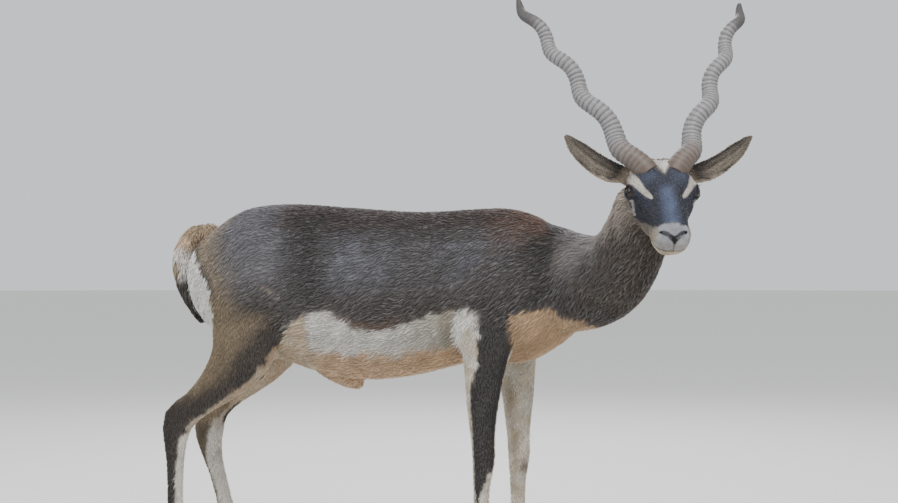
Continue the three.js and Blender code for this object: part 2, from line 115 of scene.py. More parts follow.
def near_path(points, path, widths):
    """1 on a path through a few places, falling to 0 at its half width on either side."""
    best = np.zeros(len(points))
    for (a, b), (wa, wb) in zip(zip(path, path[1:]), zip(widths, widths[1:])):
        a, b = np.array(a), np.array(b)
        t = np.clip(((points - a) @ (b - a)) / ((b - a) @ (b - a)), 0, 1)
        away = np.linalg.norm(points - (a + t[:, None] * (b - a)), axis=1)
        best = np.maximum(best, 1 - ease(0.55, 1.15, away / (wa + (wb - wa) * t)))
    return best


# The head's own frame: x down the face, y to its left, z out of the forehead
EYE_ALONG, EYE_UP, NOSE_ALONG, NOSE_UP = 0.036, -0.033, 0.155, -0.024


def head_frame():
    eyes = (middle("eye_left") + middle("eye_right")) / 2
    across = unit(middle("eye_left") - middle("eye_right"))
    down_face = middle("nose") - eyes
    down_face = unit(down_face - across * (down_face @ across))
    out = np.cross(down_face, across)
    tilt = math.atan2(NOSE_UP - EYE_UP, NOSE_ALONG - EYE_ALONG)
    x = math.cos(tilt) * down_face - math.sin(tilt) * out
    z = np.cross(x, across)
    start = eyes - EYE_ALONG * x - EYE_UP * z
    return start, np.stack([x, across, z], axis=1)


HEAD_START, HEAD_AXES = head_frame()


def to_head(points):
    return (points - HEAD_START) @ HEAD_AXES


def from_head(points):
    return np.asarray(points) @ HEAD_AXES.T + HEAD_START


# Mesh helpers
def select_only(*things):
    bpy.ops.object.select_all(action="DESELECT")
    for thing in things:
        thing.select_set(True)
    bpy.context.view_layer.objects.active = things[0]


def read(items, key, width, kind=np.float32):
    """One property of all the items of a mesh, an item to a row."""
    values = np.empty(len(items) * width, kind)
    items.foreach_get(key, values)
    return values.reshape(-1, width)


def coordinates(piece):
    return read(piece.data.vertices, "co", 3).astype(float)


def normals(piece):
    return read(piece.data.vertex_normals, "vector", 3).astype(float)


def move_to(piece, co):
    piece.data.vertices.foreach_set("co", co.astype(np.float32).ravel())
    piece.data.update()


def shade_smooth(mesh):
    mesh.polygons.foreach_set("use_smooth", np.ones(len(mesh.polygons), bool))


def edit_all(piece, step, **settings):
    """Uses a tool of edit mode on the whole piece."""
    select_only(piece)
    bpy.ops.object.mode_set(mode="EDIT")
    bpy.ops.mesh.select_all(action="SELECT")
    step(**settings)
    bpy.ops.object.mode_set(mode="OBJECT")


def finish_with(piece, kind, **settings):
    """Adds a modifier and applies it."""
    select_only(piece)
    modifier = piece.modifiers.new(kind.lower(), kind)
    for name, value in settings.items():
        setattr(modifier, name, value)
    bpy.ops.object.modifier_apply(modifier=modifier.name)


GROUP_LEVELS = 20


def set_group(piece, name, weights):
    group = piece.vertex_groups.get(name) or piece.vertex_groups.new(name=name)
    levels = np.round(np.clip(weights, 0, 1) * GROUP_LEVELS).astype(int)
    for level in np.unique(levels):
        members = np.nonzero(levels == level)[0].tolist()
        group.add(members, float(level) / GROUP_LEVELS, "REPLACE")


def store(piece, name, values):
    """Keeps a value or a colour for each vertex, for the material to read."""
    if values.ndim == 1:
        attribute = piece.data.attributes.new(name, "FLOAT", "POINT")
        attribute.data.foreach_set("value", values.astype(np.float32))
    else:
        attribute = piece.data.color_attributes.new(name, "FLOAT_COLOR", "POINT")
        full = np.ones((len(values), 4), np.float32)
        full[:, :3] = values
        attribute.data.foreach_set("color", full.ravel())


def copy_of(node):
    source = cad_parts[node]
    twin = source.copy()
    twin.data = source.data.copy()
    twin.parent = None
    for key in list(twin.keys()):
        del twin[key]
    scene.collection.objects.link(twin)
    edit_all(twin, bpy.ops.mesh.remove_doubles, threshold=1e-5)
    return twin


def new_mesh(name, points, faces):
    mesh = bpy.data.meshes.new(name)
    mesh.from_pydata(np.array(points).tolist(), [], faces)
    mesh.update()
    shade_smooth(mesh)
    piece = bpy.data.objects.new(name, mesh)
    scene.collection.objects.link(piece)
    return piece


# The skin
FLESH = ["torso", "neck", "head", "nose", "tail", "ear_right", "ear_left"] + [f"leg_{leg}" for leg in LEGS]
FUSE = 0.0012
VOXEL = 0.0028
SKIN_FACES = 120000


REGIONS = ["torso", "neck", "head", "tail", "ear_right", "ear_left"] + [f"leg_{leg}" for leg in LEGS]


def flesh_lookup():
    """A search tree over the CAD flesh, with the region of each of its faces."""
    points, faces, region = [], [], []
    for node in FLESH:
        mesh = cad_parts[node].data
        start = len(points)
        points += [v.co.copy() for v in mesh.vertices]
        mine = [[start + i for i in p.vertices] for p in mesh.polygons]
        faces += mine
        region += [REGIONS.index("head" if node == "nose" else node)] * len(mine)
    return BVHTree.FromPolygons(points, faces), np.array(region)


def smooth_over(values, edges, rounds):
    """Evens out values over the neighbours of each vertex."""
    count = len(values)
    degree = np.bincount(edges.ravel(), minlength=count)
    for _ in range(rounds):
        total = np.bincount(edges[:, 0], values[edges[:, 1]], count)
        total += np.bincount(edges[:, 1], values[edges[:, 0]], count)
        values = 0.5 * values + 0.5 * total / np.maximum(degree, 1)
    return values


REGION_ROUNDS = 14


def skin_regions(piece):
    """How much each vertex belongs to each part of the body."""
    tree, region = flesh_lookup()
    co = coordinates(piece)
    label = np.array([region[tree.find_nearest(Vector(p))[2]] for p in co])
    edges = read(piece.data.edges, "vertices", 2, np.int32)
    shares = {name: (label == i).astype(float) for i, name in enumerate(REGIONS)}
    return {name: smooth_over(share, edges, REGION_ROUNDS) for name, share in shares.items()}


def fused_flesh():
    copies = []
    for node in FLESH + ["eye_right", "eye_left"]:
        twin = copy_of(node)
        move_to(twin, coordinates(twin) + normals(twin) * FUSE)
        copies.append(twin)
    select_only(*copies)
    bpy.ops.object.join()
    skin = bpy.context.view_layer.objects.active
    skin.name = skin.data.name = "skin"
    finish_with(skin, "REMESH", mode="VOXEL", voxel_size=VOXEL, adaptivity=0)
    return skin


def broad_parts(co):
    """1 on the barrel, neck and upper legs, which are evened out widely, and 0 on the finer parts."""
    p = co - ORIGIN
    h = to_head(co)
    low_leg = ease(0.44, 0.52, p[:, 2])
    head = ease(0.05, 0.12, np.linalg.norm(h - np.array([0.05, 0, -0.04]), axis=1) - 0.06)
    tail = 1 - ease(0.53, 0.57, -p[:, 0]) * (1 - ease(0.05, 0.07, np.abs(p[:, 1])))
    under = 1 - ease(-0.49, -0.47, -p[:, 2]) * (1 - ease(0.05, 0.07, np.abs(p[:, 1])))
    return low_leg * head * tail * under


# Boxes in the head's frame: rear, front, half width, low
HEAD_AND_EARS = (-0.11, math.inf, 0.21, -0.105)
SHAPED_FACE = (-0.06, 0.19, 0.085, -0.11)
DENSE_FACE = (-0.02, 0.19, 0.075, -0.10)
DENSE_MUZZLE = (0.143, math.inf, 0.04, -0.062)
THROAT_UP = 0.64


def in_box(h, box):
    rear, front, half, low = box
    return (h[:, 0] > rear) & (h[:, 0] < front) & (np.abs(h[:, 1]) < half) & (h[:, 2] > low)


def fine_parts(co):
    """1 on the head and ears, whose small faces are kept."""
    return in_box(to_head(co), HEAD_AND_EARS) & ((co - ORIGIN)[:, 2] > THROAT_UP)


def refine(piece, chosen):
    """Halves the edges between the chosen vertices."""
    select_only(piece)
    for items in (piece.data.polygons, piece.data.edges):
        items.foreach_set("select", np.zeros(len(items), bool))
    piece.data.vertices.foreach_set("select", chosen)
    bpy.ops.object.mode_set(mode="EDIT")
    bpy.ops.mesh.select_mode(type="VERT")
    bpy.ops.mesh.subdivide(number_cuts=1, smoothness=0)
    bpy.ops.object.mode_set(mode="OBJECT")


# The eyes and their lids
EYE_SPREAD = float(np.linalg.norm(middle("eye_left") - middle("eye_right")) / 2)
LID_HALF_LENGTH, UPPER_LID, LOWER_LID = 0.0140, 0.0100, 0.0084
LID_REACH = 0.016
LID_SNAP = 0.0009


def eye_centre(side):
    return np.array([EYE_ALONG, side * EYE_SPREAD, EYE_UP])


def eye_axes(side):
    """The eye's own axes in the head's frame: out of the socket, towards the inner corner, and up."""
    out = unit(np.array([0.34, side * 0.86, 0.36]))
    along = np.array([0.93, 0, 0.12])
    along = unit(along - out * (along @ out))
    up = np.cross(out, along) * side
    return out, along, -up if up[2] < 0 else up


def lid_distance(u, v):
    """How far a place is outside the almond of the open eye, and the way out of it."""
    reach = np.where(v > 0, UPPER_LID, LOWER_LID)
    bow = 1 - (u / LID_HALF_LENGTH) ** 2
    slope_u = 2 * reach * u / LID_HALF_LENGTH**2
    steep = np.sqrt(1 + slope_u**2)
    across = (np.abs(v) - reach * bow) / steep
    beyond = np.abs(u) > LID_HALF_LENGTH
    corner = np.hypot(np.abs(u) - LID_HALF_LENGTH, v)
    away = np.where(beyond, corner, across)
    way_u, way_v = slope_u / steep, np.sign(v) / steep
    return away, way_u, way_v


def eye_places(h, side):
    """Places round one eye, as (along the lids, up, out) from the middle of the ball."""
    out, along, up = eye_axes(side)
    d = h - eye_centre(side)
    return d @ along, d @ up, d @ out


def shape_lids(h, side):
    """Draws the skin over the ball up to the edge of the lids, and into the socket inside them."""
    out, along, up = eye_axes(side)
    u, v, w = eye_places(h, side)
    radius = np.sqrt(u * u + v * v + w * w)
    away, way_u, way_v = lid_distance(u, v)
    near = (w > 0.003) & (away < LID_REACH) & (radius < EYE_RADIUS + 0.012)
    snap = near & (np.abs(away) < LID_SNAP)
    u = np.where(snap, u - away * way_u, u)
    v = np.where(snap, v - away * way_v, v)
    away = np.where(snap, 0, away)
    rim = EYE_RADIUS + 0.0009 + 0.0016 * ease(0, 0.003, away)
    outside = rim + (radius - rim) * ease(0.003, 0.013, away)
    wanted = np.where(away < -1e-6, EYE_RADIUS - 0.003, outside)
    wanted = np.where(near, wanted, radius)
    flat = np.hypot(u, v)
    w_new = np.sqrt(np.maximum(wanted**2 - flat**2, 1e-8))
    grown = wanted / np.maximum(radius, 1e-6)
    simple = (away > 0.005)[:, None]
    centre = eye_centre(side)
    lifted = centre + u[:, None] * along + v[:, None] * up + w_new[:, None] * out
    scaled = centre + (h - centre) * grown[:, None]
    moved = np.where(simple, scaled, lifted)
    return np.where(near[:, None], moved, h)


# Soft lines pressed into the face, in the head's frame
NOSTRIL = [(0.149, 0.0240, -0.0215), (0.154, 0.0195, -0.0170), (0.159, 0.0130, -0.0150),
           (0.165, 0.0060, -0.0175)]
NOSTRIL_WIDTHS = [0.0022, 0.0034, 0.0042, 0.0036]
GLAND = [(0.064, 0.047, -0.036), (0.075, 0.043, -0.0385), (0.088, 0.0375, -0.040)]
GLAND_WIDTHS = [0.0016, 0.0026, 0.0014]
GLAND_RIM_UP = 0.006
NOSTRIL_DEPTH, GLAND_DEPTH, GLAND_RIM, NOSTRIL_WING = 0.0095, 0.0034, 0.0012, 0.0022
WING_PLACE = (0.1545, 0.0225, -0.0255)
MOUTH = [(0.108, -0.060), (0.122, -0.055), (0.145, -0.050), (0.178, -0.047)]
MOUTH_DEPTH, LIP_SWELL, CLEFT_DEPTH = 0.0036, 0.0012, 0.0016


def press(h, no, path, widths, depth, side):
    """Presses a line into one side of the face, or raises it where the depth is below 0."""
    mirrored = [(x, side * y, z) for x, y, z in path]
    return h - no * (depth * near_path(h, mirrored, widths))[:, None]


def mouth_gap(h):
    """How far a place is from the line of the mouth."""
    return h[:, 2] - line_at(MOUTH, h[:, 0])


def shape_face(skin):
    """The nostrils, the eye glands, the mouth, the cleft of the nose and the lids."""
    h = to_head(coordinates(skin))
    no = normals(skin) @ HEAD_AXES
    face = in_box(h, SHAPED_FACE)
    g, n = h[face], no[face]
    gland_rim = [(x, y, z + GLAND_RIM_UP) for x, y, z in GLAND]
    for side in SIDES.values():
        g = press(g, n, NOSTRIL, NOSTRIL_WIDTHS, NOSTRIL_DEPTH, side)
        g = press(g, n, GLAND, GLAND_WIDTHS, GLAND_DEPTH, side)
        g = press(g, n, gland_rim, [0.004] * 3, -GLAND_RIM, side)
        wing = np.linalg.norm(g - np.array(WING_PLACE) * [1, side, 1], axis=1)
        g = g + n * (NOSTRIL_WING * bell(wing, 0, 0.0045))[:, None]
    gap = mouth_gap(g)
    lips = ease(0.106, 0.118, g[:, 0])
    line = MOUTH_DEPTH * bell(gap, 0, 0.0013) - LIP_SWELL * bell(np.abs(gap), 0.0045, 0.0022)
    g = g - n * (lips * line)[:, None]
    split = bell(g[:, 1], 0, 0.0013) * ease(0.155, 0.162, g[:, 0]) * ease(-0.050, -0.046, g[:, 2])
    g = g - n * (CLEFT_DEPTH * split * (1 - ease(-0.020, -0.014, g[:, 2])))[:, None]
    for side in SIDES.values():
        g = shape_lids(g, side)
    h[face] = g
    move_to(skin, from_head(h))


def unwrap(piece):
    piece.data.uv_layers.new(name="OFBake")
    edit_all(piece, bpy.ops.uv.smart_project, angle_limit=math.radians(70), island_margin=0.001)


BROAD_ROUNDS, ALL_ROUNDS = 90, 7
FINE_INSET = 0.0009


def make_skin():
    """One skin over the flesh, evened out, thinned off the head, and set in by the depth of the coat."""
    skin = fused_flesh()
    set_group(skin, "broad", broad_parts(coordinates(skin)))
    finish_with(skin, "SMOOTH", factor=0.5, iterations=BROAD_ROUNDS, vertex_group="broad")
    finish_with(skin, "SMOOTH", factor=0.5, iterations=ALL_ROUNDS)
    set_group(skin, "thin", np.where(fine_parts(coordinates(skin)), 0.0, 1.0))
    count = sum(len(p.vertices) - 2 for p in skin.data.polygons)
    finish_with(skin, "DECIMATE", ratio=min(1, SKIN_FACES / count), vertex_group="thin")
    refine(skin, in_box(to_head(coordinates(skin)), DENSE_FACE))
    h = to_head(coordinates(skin))
    dense = in_box(h, DENSE_MUZZLE)
    for side in SIDES.values():
        u, v, w = eye_places(h, side)
        dense |= (np.hypot(u, v) < 0.019) & (w > 0.002)
    refine(skin, dense)
    finish_with(skin, "TRIANGULATE")
    co = coordinates(skin)
    inset = FUSE + np.where(fine_parts(co), FINE_INSET, COAT_DEPTH)
    move_to(skin, co - normals(skin) * inset[:, None])
    shape_face(skin)
    shade_smooth(skin.data)
    for group in list(skin.vertex_groups):
        skin.vertex_groups.remove(group)
    skin.data.materials.clear()
    unwrap(skin)
    return skin


# Colours of the coat
CHARCOAL = tone(62, 58, 57)
BACK_BROWN = tone(56, 46, 43)
BLUE_GREY = tone(104, 106, 115)
THIGH_GREY = tone(100, 98, 102)
OLIVE_BROWN = tone(138, 121, 96)
RUFOUS = tone(104, 80, 67)
NECK_GREY = tone(142, 132, 121)
DARK_BROWN = tone(54, 47, 42)
BLACK_BROWN = tone(46, 43, 42)
THROAT_BROWN = tone(50, 41, 35)
HOCK_DARK = tone(52, 46, 42)
TAN = tone(180, 148, 114)
BREAST_TAN = tone(172, 144, 113)
PINK_TAN = tone(176, 148, 132)
CREAM = tone(184, 172, 152)
BELLY_GREY = tone(134, 127, 112)
WHITE = tone(206, 204, 199)
STRIPE = tone(184, 176, 168)
MASK = tone(43, 46, 59)
MASK_DARK = tone(32, 33, 39)
MASK_SHEEN = tone(80, 92, 118)
CHEEK = tone(108, 100, 92)
CROWN_BROWN = tone(126, 114, 102)
PALE_CROWN = tone(206, 204, 200)
TEMPLE_TAN = tone(172, 156, 138)
MOUTH_SHADE = tone(58, 44, 42)
BARE_DARK = tone(18, 16, 19)
PALE_NOSE = tone(142, 143, 150)
LIP_IN_SHADE = tone(150, 150, 150)
SHADED_MUZZLE = tone(132, 123, 108)
EAR_DARK = tone(50, 45, 43)
EAR_CORE = tone(36, 31, 29)
EAR_RIM = tone(150, 136, 122)
EAR_OUTSIDE = tone(156, 140, 122)
EAR_BACK_TIP = tone(112, 102, 92)

# Marks on the body as (lengthwise, up) places, the same on both sides but for the scar, on the right
BELLY_TOP = [(-0.40, 0.50), (-0.265, 0.573), (-0.208, 0.578), (-0.179, 0.556), (-0.153, 0.541),
             (-0.118, 0.535), (-0.056, 0.550), (0.002, 0.570), (0.047, 0.579), (0.107, 0.580)]
BELLY_LOW = [(-0.30, 0.496), (-0.191, 0.488), (-0.067, 0.492), (0.038, 0.512), (0.10, 0.525)]
BREAST_LINE = [(0.172, 0.572), (0.212, 0.583), (0.244, 0.586), (0.294, 0.566), (0.323, 0.556), (0.40, 0.53)]
SCAR = [(-0.372, 0.631), (-0.352, 0.619), (-0.338, 0.613)]

# The rest are (up, lengthwise), (up, sideways) or, on the forelegs, (up, share of the half length). The left
# legs stand a little differently from the right ones, and their marks are shifted by the LEFT values
BREAST_REAR = [(0.60, 0.176), (0.54, 0.166), (0.49, 0.140), (0.44, 0.10)]
THIGH_FRONT = [(0.577, -0.270), (0.567, -0.284), (0.535, -0.320), (0.493, -0.358), (0.435, -0.402),
               (0.391, -0.470), (0.335, -0.553), (0.300, -0.582), (0.230, -0.594), (0.10, -0.590)]
THIGH_INNER = [(0.6, 0.050), (0.45, 0.075), (0.3, 0.080), (0.1, 0.078)]
BUTTOCK_EDGE = [(0.74, -0.600), (0.707, -0.567), (0.672, -0.537), (0.639, -0.511), (0.618, -0.501),
                (0.559, -0.493)]
BUTTOCK_HALF = [(0.43, 0.035), (0.48, 0.062), (0.52, 0.095), (0.56, 0.128), (0.62, 0.150)]
TAIL_LINE = [(0.80, -0.57), (0.742, -0.600), (0.704, -0.630), (0.655, -0.632), (0.602, -0.614),
             (0.556, -0.588)]
LEFT_HIND_SHIFT = [(0.55, 0.0), (0.47, -0.043), (0.414, -0.046), (0.371, -0.028), (0.335, -0.009),
                   (0.236, 0.0), (0.15, 0.026)]
LEFT_FORE_SHIFT = 0.022
LEFT_FORE_WIDER = 0.012
FORE_LINE = [(0.56, 0.118), (0.512, 0.112), (0.455, 0.105), (0.392, 0.101), (0.330, 0.102), (0.254, 0.102),
             (0.13, 0.098)]
FORE_HALF = [(0.56, 0.052), (0.512, 0.043), (0.455, 0.034), (0.392, 0.026), (0.33, 0.024), (0.254, 0.018),
             (0.13, 0.016)]
FORE_INNER = [(0.6, 0.070), (0.48, 0.074), (0.3, 0.074), (0.1, 0.075)]
FORE_REAR = [(0.58, -0.25), (0.488, -0.12), (0.455, -0.35), (0.421, -0.66), (0.25, -0.66), (0.13, -0.5)]
FORE_FRONT = [(0.60, 3.0), (0.29, 2.0), (0.25, 0.75), (0.22, 0.2), (0.185, -0.45)]

# Marks on the face in the head's frame, on both sides alike
EYE_STRIPE = [(-0.024, 0.061, -0.050), (0.008, 0.058, -0.026), (0.034, 0.052, -0.010),
              (0.052, 0.045, -0.009), (0.066, 0.035, -0.010), (0.074, 0.029, -0.009)]
EYE_STRIPE_WIDTHS = [0.014, 0.0125, 0.0090, 0.0072, 0.0060, 0.0034]
UNDER_EYE = [(0.053, 0.057, -0.037), (0.058, 0.056, -0.048), (0.065, 0.051, -0.062)]
UNDER_EYE_WIDTHS = [0.0032, 0.0052, 0.0040]
MASK_EDGE = [(-0.02, -0.020), (0.020, -0.036), (0.045, -0.050), (0.062, -0.064), (0.079, -0.068),
             (0.100, -0.052), (0.127, -0.028), (0.145, -0.014)]
NOSE_PAD = [(0.161, 0.009, -0.0175), (0.168, 0.0, -0.0200), (0.172, 0.0, -0.0265)]


# In the marks below x is lengthwise, s the distance from the middle plane and z up, all in metres
def places(p):
    return p[:, 0], np.abs(p[:, 1]), p[:, 2]


def shoulder_edge(x, z):
    """The dark line between the shoulder and the neck."""
    return bell(x, 0.222 + 0.20 * (0.70 - z), 0.022) * ease(0.57, 0.61, z) * ease(0.75, 0.70, z)


def torso_colour(p):
    """The barrel and the upper legs from the side, with painted sky highlights on the upper bulges and
    painted shade in the fold before the thigh.
    """
    x, _, z = places(p)
    soft = 0.006 * ripple(p, 0.05, 3) + 0.003 * ripple(p, 0.015, 4)
    patchy_sheen = 0.75 + 0.35 * ripple(p, 0.030, 18)
    # A dark band down the flank just ahead of the thigh: painted shade in the fold between flank and thigh
    fold_shade_line = -0.264 - 0.14 * (z - 0.66) + 0.5 * soft
    flank_fold_shade = bell(x, fold_shade_line, 0.030) * ease(0.56, 0.60, z) * ease(0.80, 0.75, z)
    above_belly = ease(0.63, 0.585, z) * ease(-0.30, -0.20, x) * ease(0.12, 0.06, x)
    rear = ease(-0.39, -0.52, x + 0.30 * (z - 0.60) + soft)
    scar = near_path(np.column_stack([x, z]), SCAR, [0.003, 0.005, 0.003])
    return paint(
        plain(CHARCOAL, p),
        (THIGH_GREY, 0.75 * ease(-0.29, -0.36, x) * ease(0.56, 0.66, z)),
        # Bluish grey patches on the upper flank, the shoulder and the top of the hip: painted highlight of
        # the sky
        (BLUE_GREY, 0.60 * patchy_sheen * bell(x, -0.16, 0.080) * bell(z, 0.675, 0.045)),
        (BLUE_GREY, 0.42 * patchy_sheen * bell(x, 0.075, 0.050) * bell(z, 0.695, 0.050)),
        (BLUE_GREY, 0.35 * patchy_sheen * bell(x, -0.40, 0.070) * bell(z, 0.745, 0.040)),
        (BACK_BROWN, 0.9 * ease(0.725, 0.765, z + soft) * ease(-0.42, -0.31, x)),
        (BACK_BROWN, 0.55 * bell(x, 0.125, 0.035) * bell(z, 0.60, 0.040)),
        (RUFOUS, 0.6 * bell(x, 0.215, 0.060) * ease(0.68, 0.75, z + soft)),
        (BLACK_BROWN, 0.85 * shoulder_edge(x, z + soft)),
        # Painted shade in the fold between flank and thigh
        (BLACK_BROWN, 0.95 * flank_fold_shade),
        (DARK_BROWN, 0.6 * above_belly),
        (DARK_BROWN, 0.85 * ease(0.66, 0.56, z) * ease(-0.30, -0.36, x)),
        (OLIVE_BROWN, 0.8 * rear * ease(0.40, 0.46, z)),
        (RUFOUS, 0.7 * ease(-0.52, -0.57, x) * ease(0.70, 0.74, z)),
        (EAR_OUTSIDE, 0.45 * scar * (p[:, 1] < 0)),
    )


def belly_marks(colour, p, hind, fore):
    """The pale band along the flank, with a few specks of painted shadow and painted shade behind the elbow,
    and the tan belly below it, partly stain and partly painted shade with a painted reflection of the warm
    ground.
    """
    x, _, z = places(p)
    soft = 0.004 * ripple(p, 0.03, 5) + 0.002 * ripple(p, 0.009, 6)
    top = line_at(BELLY_TOP, x) + soft
    low = line_at(BELLY_LOW, x) + 1.5 * soft
    barrel = (1 - hind) * (1 - fore)
    shadow_specks = ease(0.7, 1.4, ripple(p, 0.009, 7)) * bell(x, -0.01, 0.06) * bell(z, 0.540, 0.02)
    band = paint(
        plain(WHITE, p),
        # Grey over the white, more of it towards the front; the narrow band at 0.04 is painted shade between
        # the belly and the white behind the elbow
        (BELLY_GREY, 0.30 + 0.45 * ease(-0.10, 0.03, x) + 0.3 * bell(x, 0.040, 0.010)),
        # Dark specks: painted shadows
        (DARK_BROWN, 0.5 * shadow_specks),
        # Tan below the band: partly stain, partly painted shade with a painted reflection of the warm ground
        (TAN, 0.9 * ease(0.010, -0.014, z - low)),
    )
    return paint(
        colour,
        (RUFOUS, 0.7 * bell(z, top + 0.006, 0.006) * bell(x, -0.13, 0.05) * barrel),
        (band, ease(0.003, -0.005, z - top) * ease(0.128, 0.104, x) * barrel),
    )


def breast_marks(colour, p, fore):
    """The breast ahead of the forelegs, its own pale tan darkened with painted shade, under a darker edge.
    """
    x, _, z = places(p)
    soft = 0.004 * ripple(p, 0.03, 8) + 0.002 * ripple(p, 0.01, 9)
    line = line_at(BREAST_LINE, x)
    below = ease(0.004, -0.006, z - line - soft)
    ahead = ease(-0.006, 0.008, x - line_at(BREAST_REAR, z) + soft)
    return paint(
        colour,
        (BLACK_BROWN, 0.6 * bell(z, line + 0.020, 0.013) * ease(0.17, 0.21, x)),
        # Tan breast: the pale chest darkened with painted shade
        (BREAST_TAN, below * ahead * (1 - fore)),
    )


def foreleg_marks(colour, p, fore):
    """Dark outside, white inside and behind with painted shade over the inner side, the dark narrowing to a
    point down the cannon.
    """
    x, s, z = places(p)
    left = p[:, 1] > 0
    x = x - np.where(left, LEFT_FORE_SHIFT * ease(0.5, 0.3, z), 0)
    q = (x - line_at(FORE_LINE, z)) / line_at(FORE_HALF, z)
    q = q + 0.12 * ripple(p, 0.02, 10)
    side_edge = line_at(FORE_INNER, z) + 0.008 * ease(0.1, 0.8, q) + np.where(left, LEFT_FORE_WIDER, 0)
    outer = ease(-0.004, 0.004, s - side_edge)
    before_rear = ease(-0.12, 0.12, q - line_at(FORE_REAR, z))
    behind_front = ease(0.15, -0.15, q - line_at(FORE_FRONT, z))
    leg = paint(
        plain(WHITE, p),
        (CREAM, 0.7 + 0.3 * ripple(p, 0.04, 12)),
        # Olive brown over the inner side from about the knee to the elbow: painted shade
        (OLIVE_BROWN, 0.55 * bell(q, 0.0, 0.3) * (1 - outer) * ease(0.46, 0.40, z) * ease(0.20, 0.25, z)),
        (TAN, 0.55 * ease(0.19, 0.12, z)),
        (DARK_BROWN, 0.8 * bell(q, 0.9, 0.3) * bell(z, 0.253, 0.010) * left),
        (OLIVE_BROWN, 0.75 * bell(q, 0.7, 0.4) * ease(0.17, 0.12, z)),
        (BLACK_BROWN, before_rear * behind_front * outer),
    )
    return paint(colour, (leg, ease(0.25, 0.65, fore)))


def shoulder_marks(colour, p):
    """The white oval behind the elbow and the dark front of the shoulder above the leg."""
    x, s, z = places(p)
    soft = 0.003 * ripple(p, 0.02, 13)
    oval = 1 - ease(0.85, 1.12, np.hypot((x - 0.078) / 0.030, (z - 0.528) / 0.056) + 8 * soft)
    dark = ease(0.63, 0.56, z) * ease(0.46, 0.49, z) * ease(0.098, 0.108, x + soft) * ease(0.19, 0.17, x)
    return paint(
        colour,
        (BLACK_BROWN, 0.8 * dark * ease(0.05, 0.07, s)),
        (WHITE, oval * ease(0.060, 0.072, s)),
    )


def hindleg_marks(colour, p, hind):
    """A pale strip down the front of the thigh and leg, dark outside and behind, the dark next to the strip
    partly painted shade, pale inside.
    """
    x, s, z = places(p)
    x = x - np.where(p[:, 1] > 0, line_at(LEFT_HIND_SHIFT, z), 0)
    soft = 0.003 * ripple(p, 0.02, 14)
    edge = line_at(THIGH_FRONT, z) + soft
    inner = ease(0.004, -0.004, s - line_at(THIGH_INNER, z))
    pale_front = ease(-0.004, 0.004, x - edge)
    pale_inside = ease(-0.006, 0.006, x - edge + 0.016) * inner
    dark = paint(
        plain(DARK_BROWN, p),
        # Olive brown from a little behind the pale strip, leaving a dark band beside it: the leg's own dark
        # coat with painted shade
        (OLIVE_BROWN, 0.65 * ease(0.030, 0.110, edge - x + soft) * ease(0.35, 0.42, z)),
        (HOCK_DARK, 0.8 * ease(0.39, 0.34, z)),
        (OLIVE_BROWN, 0.75 * inner * ease(0.30, 0.34, z) + 0.35 * inner * ease(0.34, 0.30, z)),
    )
    pale = paint(
        plain(BREAST_TAN, p),
        (CREAM, 0.55 + 0.2 * ripple(p, 0.05, 15)),
        (WHITE, 0.75 * ease(0.36, 0.29, z)),
        (TAN, 0.5 * ease(0.14, 0.10, z)),
    )
    return paint(
        colour,
        (dark, hind * ease(0.60, 0.52, z)),
        (pale, np.maximum(pale_front, pale_inside) * hind * ease(0.60, 0.57, z)),
    )


def rump_marks(colour, p, tail):
    """The white buttocks with their dark edge, and the tail: tan above, then white, dark below."""
    x, s, z = places(p)
    soft = 0.003 * ripple(p, 0.02, 16)
    edge = line_at(BUTTOCK_EDGE, z) + soft
    inner = ease(0.006, -0.006, s + soft - line_at(BUTTOCK_HALF, z))
    band = ease(0.755, 0.735, z) * ease(0.41, 0.45, z) * inner
    behind = line_at(TAIL_LINE, z) - x + soft
    mine = paint(
        plain(WHITE, p),
        (OLIVE_BROWN, ease(-0.012, 0.0, behind) * ease(0.70, 0.67, z)),
        (DARK_BROWN, ease(0.660, 0.638, z + 0.3 * behind)),
        (TAN, 0.8 * ease(0.706, 0.722, z + soft)),
        (OLIVE_BROWN, 0.8 * ease(0.735, 0.755, z + soft)),
    )
    return paint(
        colour,
        (BLACK_BROWN, 0.85 * bell(x, edge + 0.009, 0.007) * ease(0.58, 0.62, z) * band),
        (WHITE, ease(0.004, -0.004, x - edge) * band),
        (mine, ease(0.3, 0.6, tail)),
    )


def neck_marks(colour, p, neck):
    """Grey above and brown on the throat, greyer and darker towards the shoulder."""
    x, _, z = places(p)
    level = z - (0.66 + 0.13 * np.clip((x - 0.22) / 0.22, 0, 1))
    mine = paint(
        plain(NECK_GREY, p),
        (BACK_BROWN, 0.5 * ease(0.04, 0.08, level)),
        (THROAT_BROWN, 0.92 * ease(0.005, -0.065, level + 0.008 * ripple(p, 0.05, 17))),
        (RUFOUS, 0.6 * ease(0.33, 0.25, x) * ease(0.67, 0.72, z)),
        (BLUE_GREY, 0.45 * bell(level, -0.01, 0.04) * ease(0.42, 0.32, x)),
        (THIGH_GREY, 0.7 * ease(0.37, 0.29, x) * ease(0.0, 0.03, level)),
        (CHARCOAL, 0.9 * ease(0.275, 0.236, x)),
        (BLACK_BROWN, 0.85 * shoulder_edge(x, z)),
    )
    return paint(colour, (mine, ease(0.2, 0.8, neck)))


